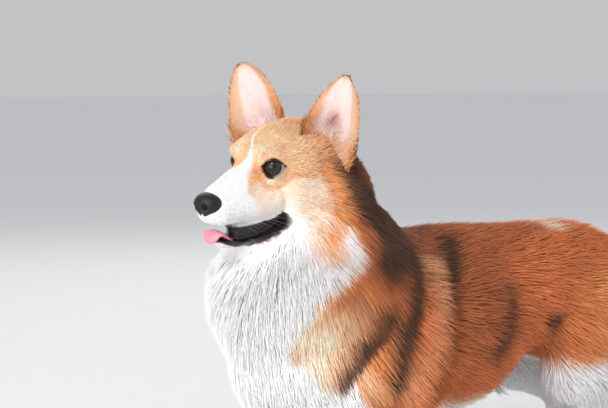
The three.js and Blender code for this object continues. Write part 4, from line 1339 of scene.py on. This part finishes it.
def makeNose():
    bm = bmesh.new()
    half = np.array(headPlan["noseHalf"])
    place = Matrix.Translation(headPlan["noseAt"]) @ Matrix.Diagonal((*half, 1))
    bmesh.ops.create_icosphere(bm, subdivisions=6 if fine else 5, radius=1, matrix=place)
    piece = newObject("nose_leather", meshOfBmesh("nose_leather", bm))
    points, ends = pointsOf(piece.data), edgesOf(piece.data)
    for step in range(14):
        points = fitted(points, noseReach, 0, 0.7)
        if step < 12:
            points = evened(points, ends, 0.35)
    setPoints(piece.data, carried(fromHead, points))
    return piece


tonguePlan = {
    "path": [(30, 0, -69), (41, 0, -66.5), (49, 0, -61), (56.5, 0, -56), (62, 0, -58), (64.5, 0, -67.5)],
    "half": (5, 8, 12, 13, 12.5, 9), "thick": 3.4, "lean": -2.5,
}


def makeTongue():
    bm = bmesh.new()
    bmesh.ops.create_uvsphere(bm, u_segments=40, v_segments=28, radius=1)
    path, half = np.array(tonguePlan["path"], float), tonguePlan["half"]
    steps = np.linspace(0, 1, len(path))
    for v in bm.verts:
        t = (v.co.x + 1) / 2
        t = 0.5 - 0.5 * math.cos(math.pi * t)
        centre, after, before = (
            Vector([np.interp(at, steps, path[:, k]) for k in range(3)])
            for at in (t, min(t + 0.05, 1), max(t - 0.05, 0))
        )
        way = (after - before).normalized()
        up = way.cross(Vector((0, 1, 0))).normalized() * -1
        ring = max(1e-3, math.sqrt(max(0, 1 - v.co.x**2)))
        wide = np.interp(t, steps, half) * (0.35 + 0.65 * ring if t > 0.5 else 1)
        across, lift = v.co.y / ring * min(1, ring * 1.6), v.co.z
        groove = -1.3 * math.exp(-((across / 0.16) ** 2)) * (lift > 0)
        curl = 1.6 * abs(across) ** 2
        spot = centre + Vector((0, 1, 0)) * (across * wide + tonguePlan["lean"] * t)
        v.co = spot + up * (lift * tonguePlan["thick"] * 0.62 + groove + curl)
    for _ in range(3):
        bmesh.ops.smooth_vert(
            bm, verts=bm.verts, factor=0.5, use_axis_x=True, use_axis_y=True, use_axis_z=True
        )
    bmesh.ops.remove_doubles(bm, verts=bm.verts, dist=0.01)
    bmesh.ops.recalc_face_normals(bm, faces=bm.faces)
    bmesh.ops.transform(bm, matrix=fromHead, verts=bm.verts)
    return newObject("tongue_soft", meshOfBmesh("tongue_soft", bm))


def makeEye(name, s):
    centre, axes = eyeAxes(s, 0.15)
    bm = bmesh.new()
    bmesh.ops.create_uvsphere(bm, u_segments=72, v_segments=48, radius=headPlan["eyeRadius"])
    for v in bm.verts:
        ahead = v.co.z / headPlan["eyeRadius"]
        if ahead > 0.7:  # the cornea stands out a little
            v.co *= 1 + 0.035 * rise(0.7, 1.0, ahead)
    basis = Matrix([[*row, 0] for row in axes.T.tolist()] + [[0, 0, 0, 1]])
    angles = [math.acos(max(-1, min(1, v.co.normalized().z))) / 1.15 for v in bm.verts]
    bmesh.ops.transform(bm, matrix=fromHead @ Matrix.Translation(centre) @ basis, verts=bm.verts)
    if (fromHead @ basis).determinant() < 0:
        bmesh.ops.reverse_faces(bm, faces=bm.faces)
    piece = newObject(name, meshOfBmesh(name, bm))
    ring = piece.data.attributes.new("fromPupil", "FLOAT", "POINT")
    ring.data.foreach_set("value", np.array(angles, np.float32))
    return piece


whiskerPlan = {"rings": 9, "thick": 0.17}


def whiskerSpots():
    spots = []
    for s in (-1, 1):
        for row in range(3):
            for k in range(4):
                u, w = 55 - 8 * k - 2 * row, -31 - 5.4 * row - 1.4 * k
                reach = 26 + 7 * k - 2 * row
                way = (-0.75 - 0.12 * k, s * (0.9 - 0.1 * row), -0.15 - 0.2 * row)
                spots.append((u, s, w, way, reach))
        for k in range(3):
            spots.append((26 - 14 * k, s, -67 - k, (-0.6, s * 0.7, -0.7), 20 + 3 * k))
        for k in range(3):
            spots.append((8 - 3 * k, s, 16 + 2 * k, (-0.45, s * 0.5, 0.75), 17 + 3 * k))
    return spots


def makeWhiskers():
    spots = whiskerSpots()
    root = []
    for u, s, w, way, reach in spots:
        here = np.array([[u, s * 60.0, w]])
        for _ in range(60):  # in from the side to the skin
            p = carried(fromHead, here)
            gap = float(bodyReach(p)[0]) + faceInset
            if gap < 0.1:
                break
            here[0, 1] -= s * min(max(gap * 0.7, 0.15), 4)
        root.append(here[0])
    root = np.array(root)
    way = unit(np.array([w for *_, w, _ in spots], float))
    reach = np.array([r for *_, r in spots], float) * (0.85 + 0.3 * dice.random(len(spots)))
    places, widths = [], []
    droop = np.array([-0.25, 0, -0.22])
    for r in range(whiskerPlan["rings"]):
        t = r / whiskerPlan["rings"]
        bow = droop * (reach[:, None] * t * t)
        places.append(carried(fromHead, root + way * (reach[:, None] * t) + bow - way * 1.5))
        widths.append(np.full(len(root), whiskerPlan["thick"] * (1.25 - 0.9 * t)))
    places.append(carried(fromHead, root + way * reach[:, None] + droop * reach[:, None]))
    up = np.tile(turnedBy(fromHead, np.array([[0, 0, 1.0]])), (len(root), 1))
    along = unit(places[-1] - places[0])
    tufts = {"places": places, "widths": widths, "across": unit(np.cross(up, along)), "up": up}
    patch = {"uv": np.stack([np.linspace(0.05, 0.95, len(root)), np.full(len(root), 0.5)], 1)}
    mesh, per, rings = meshTufts("whiskers", patch, tufts)
    setTint(mesh, np.tile(furColours["white"] * 0.95, (len(root) * per, 1)))
    return newObject("whiskers", mesh)


# Putting the dog together

hide = makeHide()
print("hide joined", len(hide.data.polygons), "faces")
sown = sowRoots(hide)
print("roots sown", sum(len(patch["root"]) for patch in sown))


def sliced(table, part):
    def taken(value):
        if isinstance(value, list):
            return [entry[part] for entry in value]
        return value[part] if isinstance(value, np.ndarray) else value

    return {key: taken(value) for key, value in table.items()}


fur, hideLook = furMaterial(), hideMaterial()
shown = []
for patch in sown:
    tufts = combTufts(patch)
    pieces = max(1, math.ceil(len(patch["root"]) * tuftFaces(patch["look"]) / coatSizes["most"]))
    for k in range(pieces):
        part = slice(k, None, pieces)
        some, here = sliced(tufts, part), sliced(patch, part)
        name = f"coat_{patch['name']}" + (f"_{k + 1}" if pieces > 1 else "")
        mesh, per, rings = meshTufts(name, here, some)
        setTint(mesh, tuftColours(here, some, per, rings))
        piece = newObject(name, mesh)
        piece.data.materials.append(fur)
        shown.append((piece, "white_coat" if patch["name"] in ("bib", "legs") else "red_coat"))
print("coat grown")

points = pointsOf(hide.data)
normals = np.zeros(len(hide.data.vertices) * 3)
hide.data.vertices.foreach_get("normal", normals)
ear = np.zeros(len(points))
hide.data.attributes["earSide"].data.foreach_get("value", ear)
tints, moist = hideColours(points, ear)
tints = earColours(points, normals.reshape(-1, 3), ear, tints)
# the skin is painted darker than the fur's colour, painted shade under the coat, less so where the fur is
# pale
setTint(hide.data, tints * mixed(0.75, 0.97, rise(0.35, 0.75, tints[:, 2:3])))
wet = hide.data.attributes.new("moist", "FLOAT", "POINT")
wet.data.foreach_set("value", moist.astype(np.float32))
setPoints(hide.data, (points + dogPlan["shift"]) / 1000)
hide.data.materials.clear()
hide.data.materials.append(hideLook)

nose, tongue = makeNose(), makeTongue()
eyes = [makeEye(f"eyeball_{side}", s) for side, s in (("left", 1), ("right", -1))]
eyeLook = eyeMaterial()
faceLooks = [(nose, leatherMaterial()), (tongue, tongueMaterial()), (eyes[0], eyeLook), (eyes[1], eyeLook)]
for piece, material in faceLooks:
    setPoints(piece.data, (pointsOf(piece.data) + dogPlan["shift"]) / 1000)
    piece.data.polygons.foreach_set("use_smooth", np.ones(len(piece.data.polygons), bool))
    piece.data.materials.append(material)
whiskers = makeWhiskers()
whiskers.data.materials.append(fur)
print("face finished")

shown += [
    (hide, "red_coat"), (nose, "nose_leather"), (tongue, "tongue"),
    (eyes[0], "eye"), (eyes[1], "eye"), (whiskers, "white_coat"),
]
for piece, slotName in shown:
    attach(piece, "root")
horn = hornMaterial()
fleshNodes = []
for name, node in frame["nodes"].items():
    if "claw" in name:
        node.data.materials.clear()
        node.data.materials.append(horn)
    elif name not in ("nose", "tongue", "eye_left", "eye_right"):
        fleshNodes.append(name)
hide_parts(*fleshNodes)
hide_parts("nose")
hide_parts("tongue")
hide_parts("eye_left")
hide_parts("eye_right")

# Floor, lights and camera
stagePlan = {"floor": 60.0, "keyPower": 30, "frontPower": 29, "fillPower": 7, "rimPower": 12, "sky": 0.58}
bm = bmesh.new()
bmesh.ops.create_grid(bm, x_segments=1, y_segments=1, size=stagePlan["floor"] / 2)
ground = newObject("ground", meshOfBmesh("ground", bm))
ground.data.materials.append(floorMaterial())


def addLight(name, power, size, at, towards, warmth=(1, 1, 1)):
    light = bpy.data.lights.new(name, "AREA")
    light.energy, light.size, light.color = power, size, warmth
    lamp = bpy.data.objects.new(name, light)
    bpy.context.scene.collection.objects.link(lamp)
    lamp.location = at
    lamp.rotation_euler = (Vector(towards) - Vector(at)).to_track_quat("-Z", "Y").to_euler()


middle = (-0.1, 0.0, 0.25)
addLight("key", stagePlan["keyPower"], 0.8, (-2.0, -0.9, 1.9), middle, (1, 0.97, 0.93))
addLight("front", stagePlan["frontPower"], 1.4, (-2.2, -0.7, 0.45), (-0.2, 0, 0.25))
addLight("fill", stagePlan["fillPower"], 1.6, (0.6, -2.4, 1.1), middle)
addLight("back", stagePlan["rimPower"], 1.4, (0.9, 1.8, 1.8), middle)
world = bpy.data.worlds.new("studio")
world.use_nodes = True
world.node_tree.nodes["Background"].inputs["Color"].default_value = (0.93, 0.94, 0.96, 1)
world.node_tree.nodes["Background"].inputs["Strength"].default_value = stagePlan["sky"]
bpy.context.scene.world = world
bpy.context.scene.view_settings.view_transform = "Standard"

cameraPlan = {"at": (-1.01611, -1.20500, 0.4648), "tilt": 85, "turn": -35, "lens": 86.15}
camera = bpy.data.objects.new("camera", bpy.data.cameras.new("camera"))
bpy.context.scene.collection.objects.link(camera)
camera.location = cameraPlan["at"]
camera.rotation_euler = Euler((math.radians(cameraPlan["tilt"]), 0, math.radians(cameraPlan["turn"])))
camera.data.lens, camera.data.sensor_width = cameraPlan["lens"], 36
bpy.context.scene.camera = camera
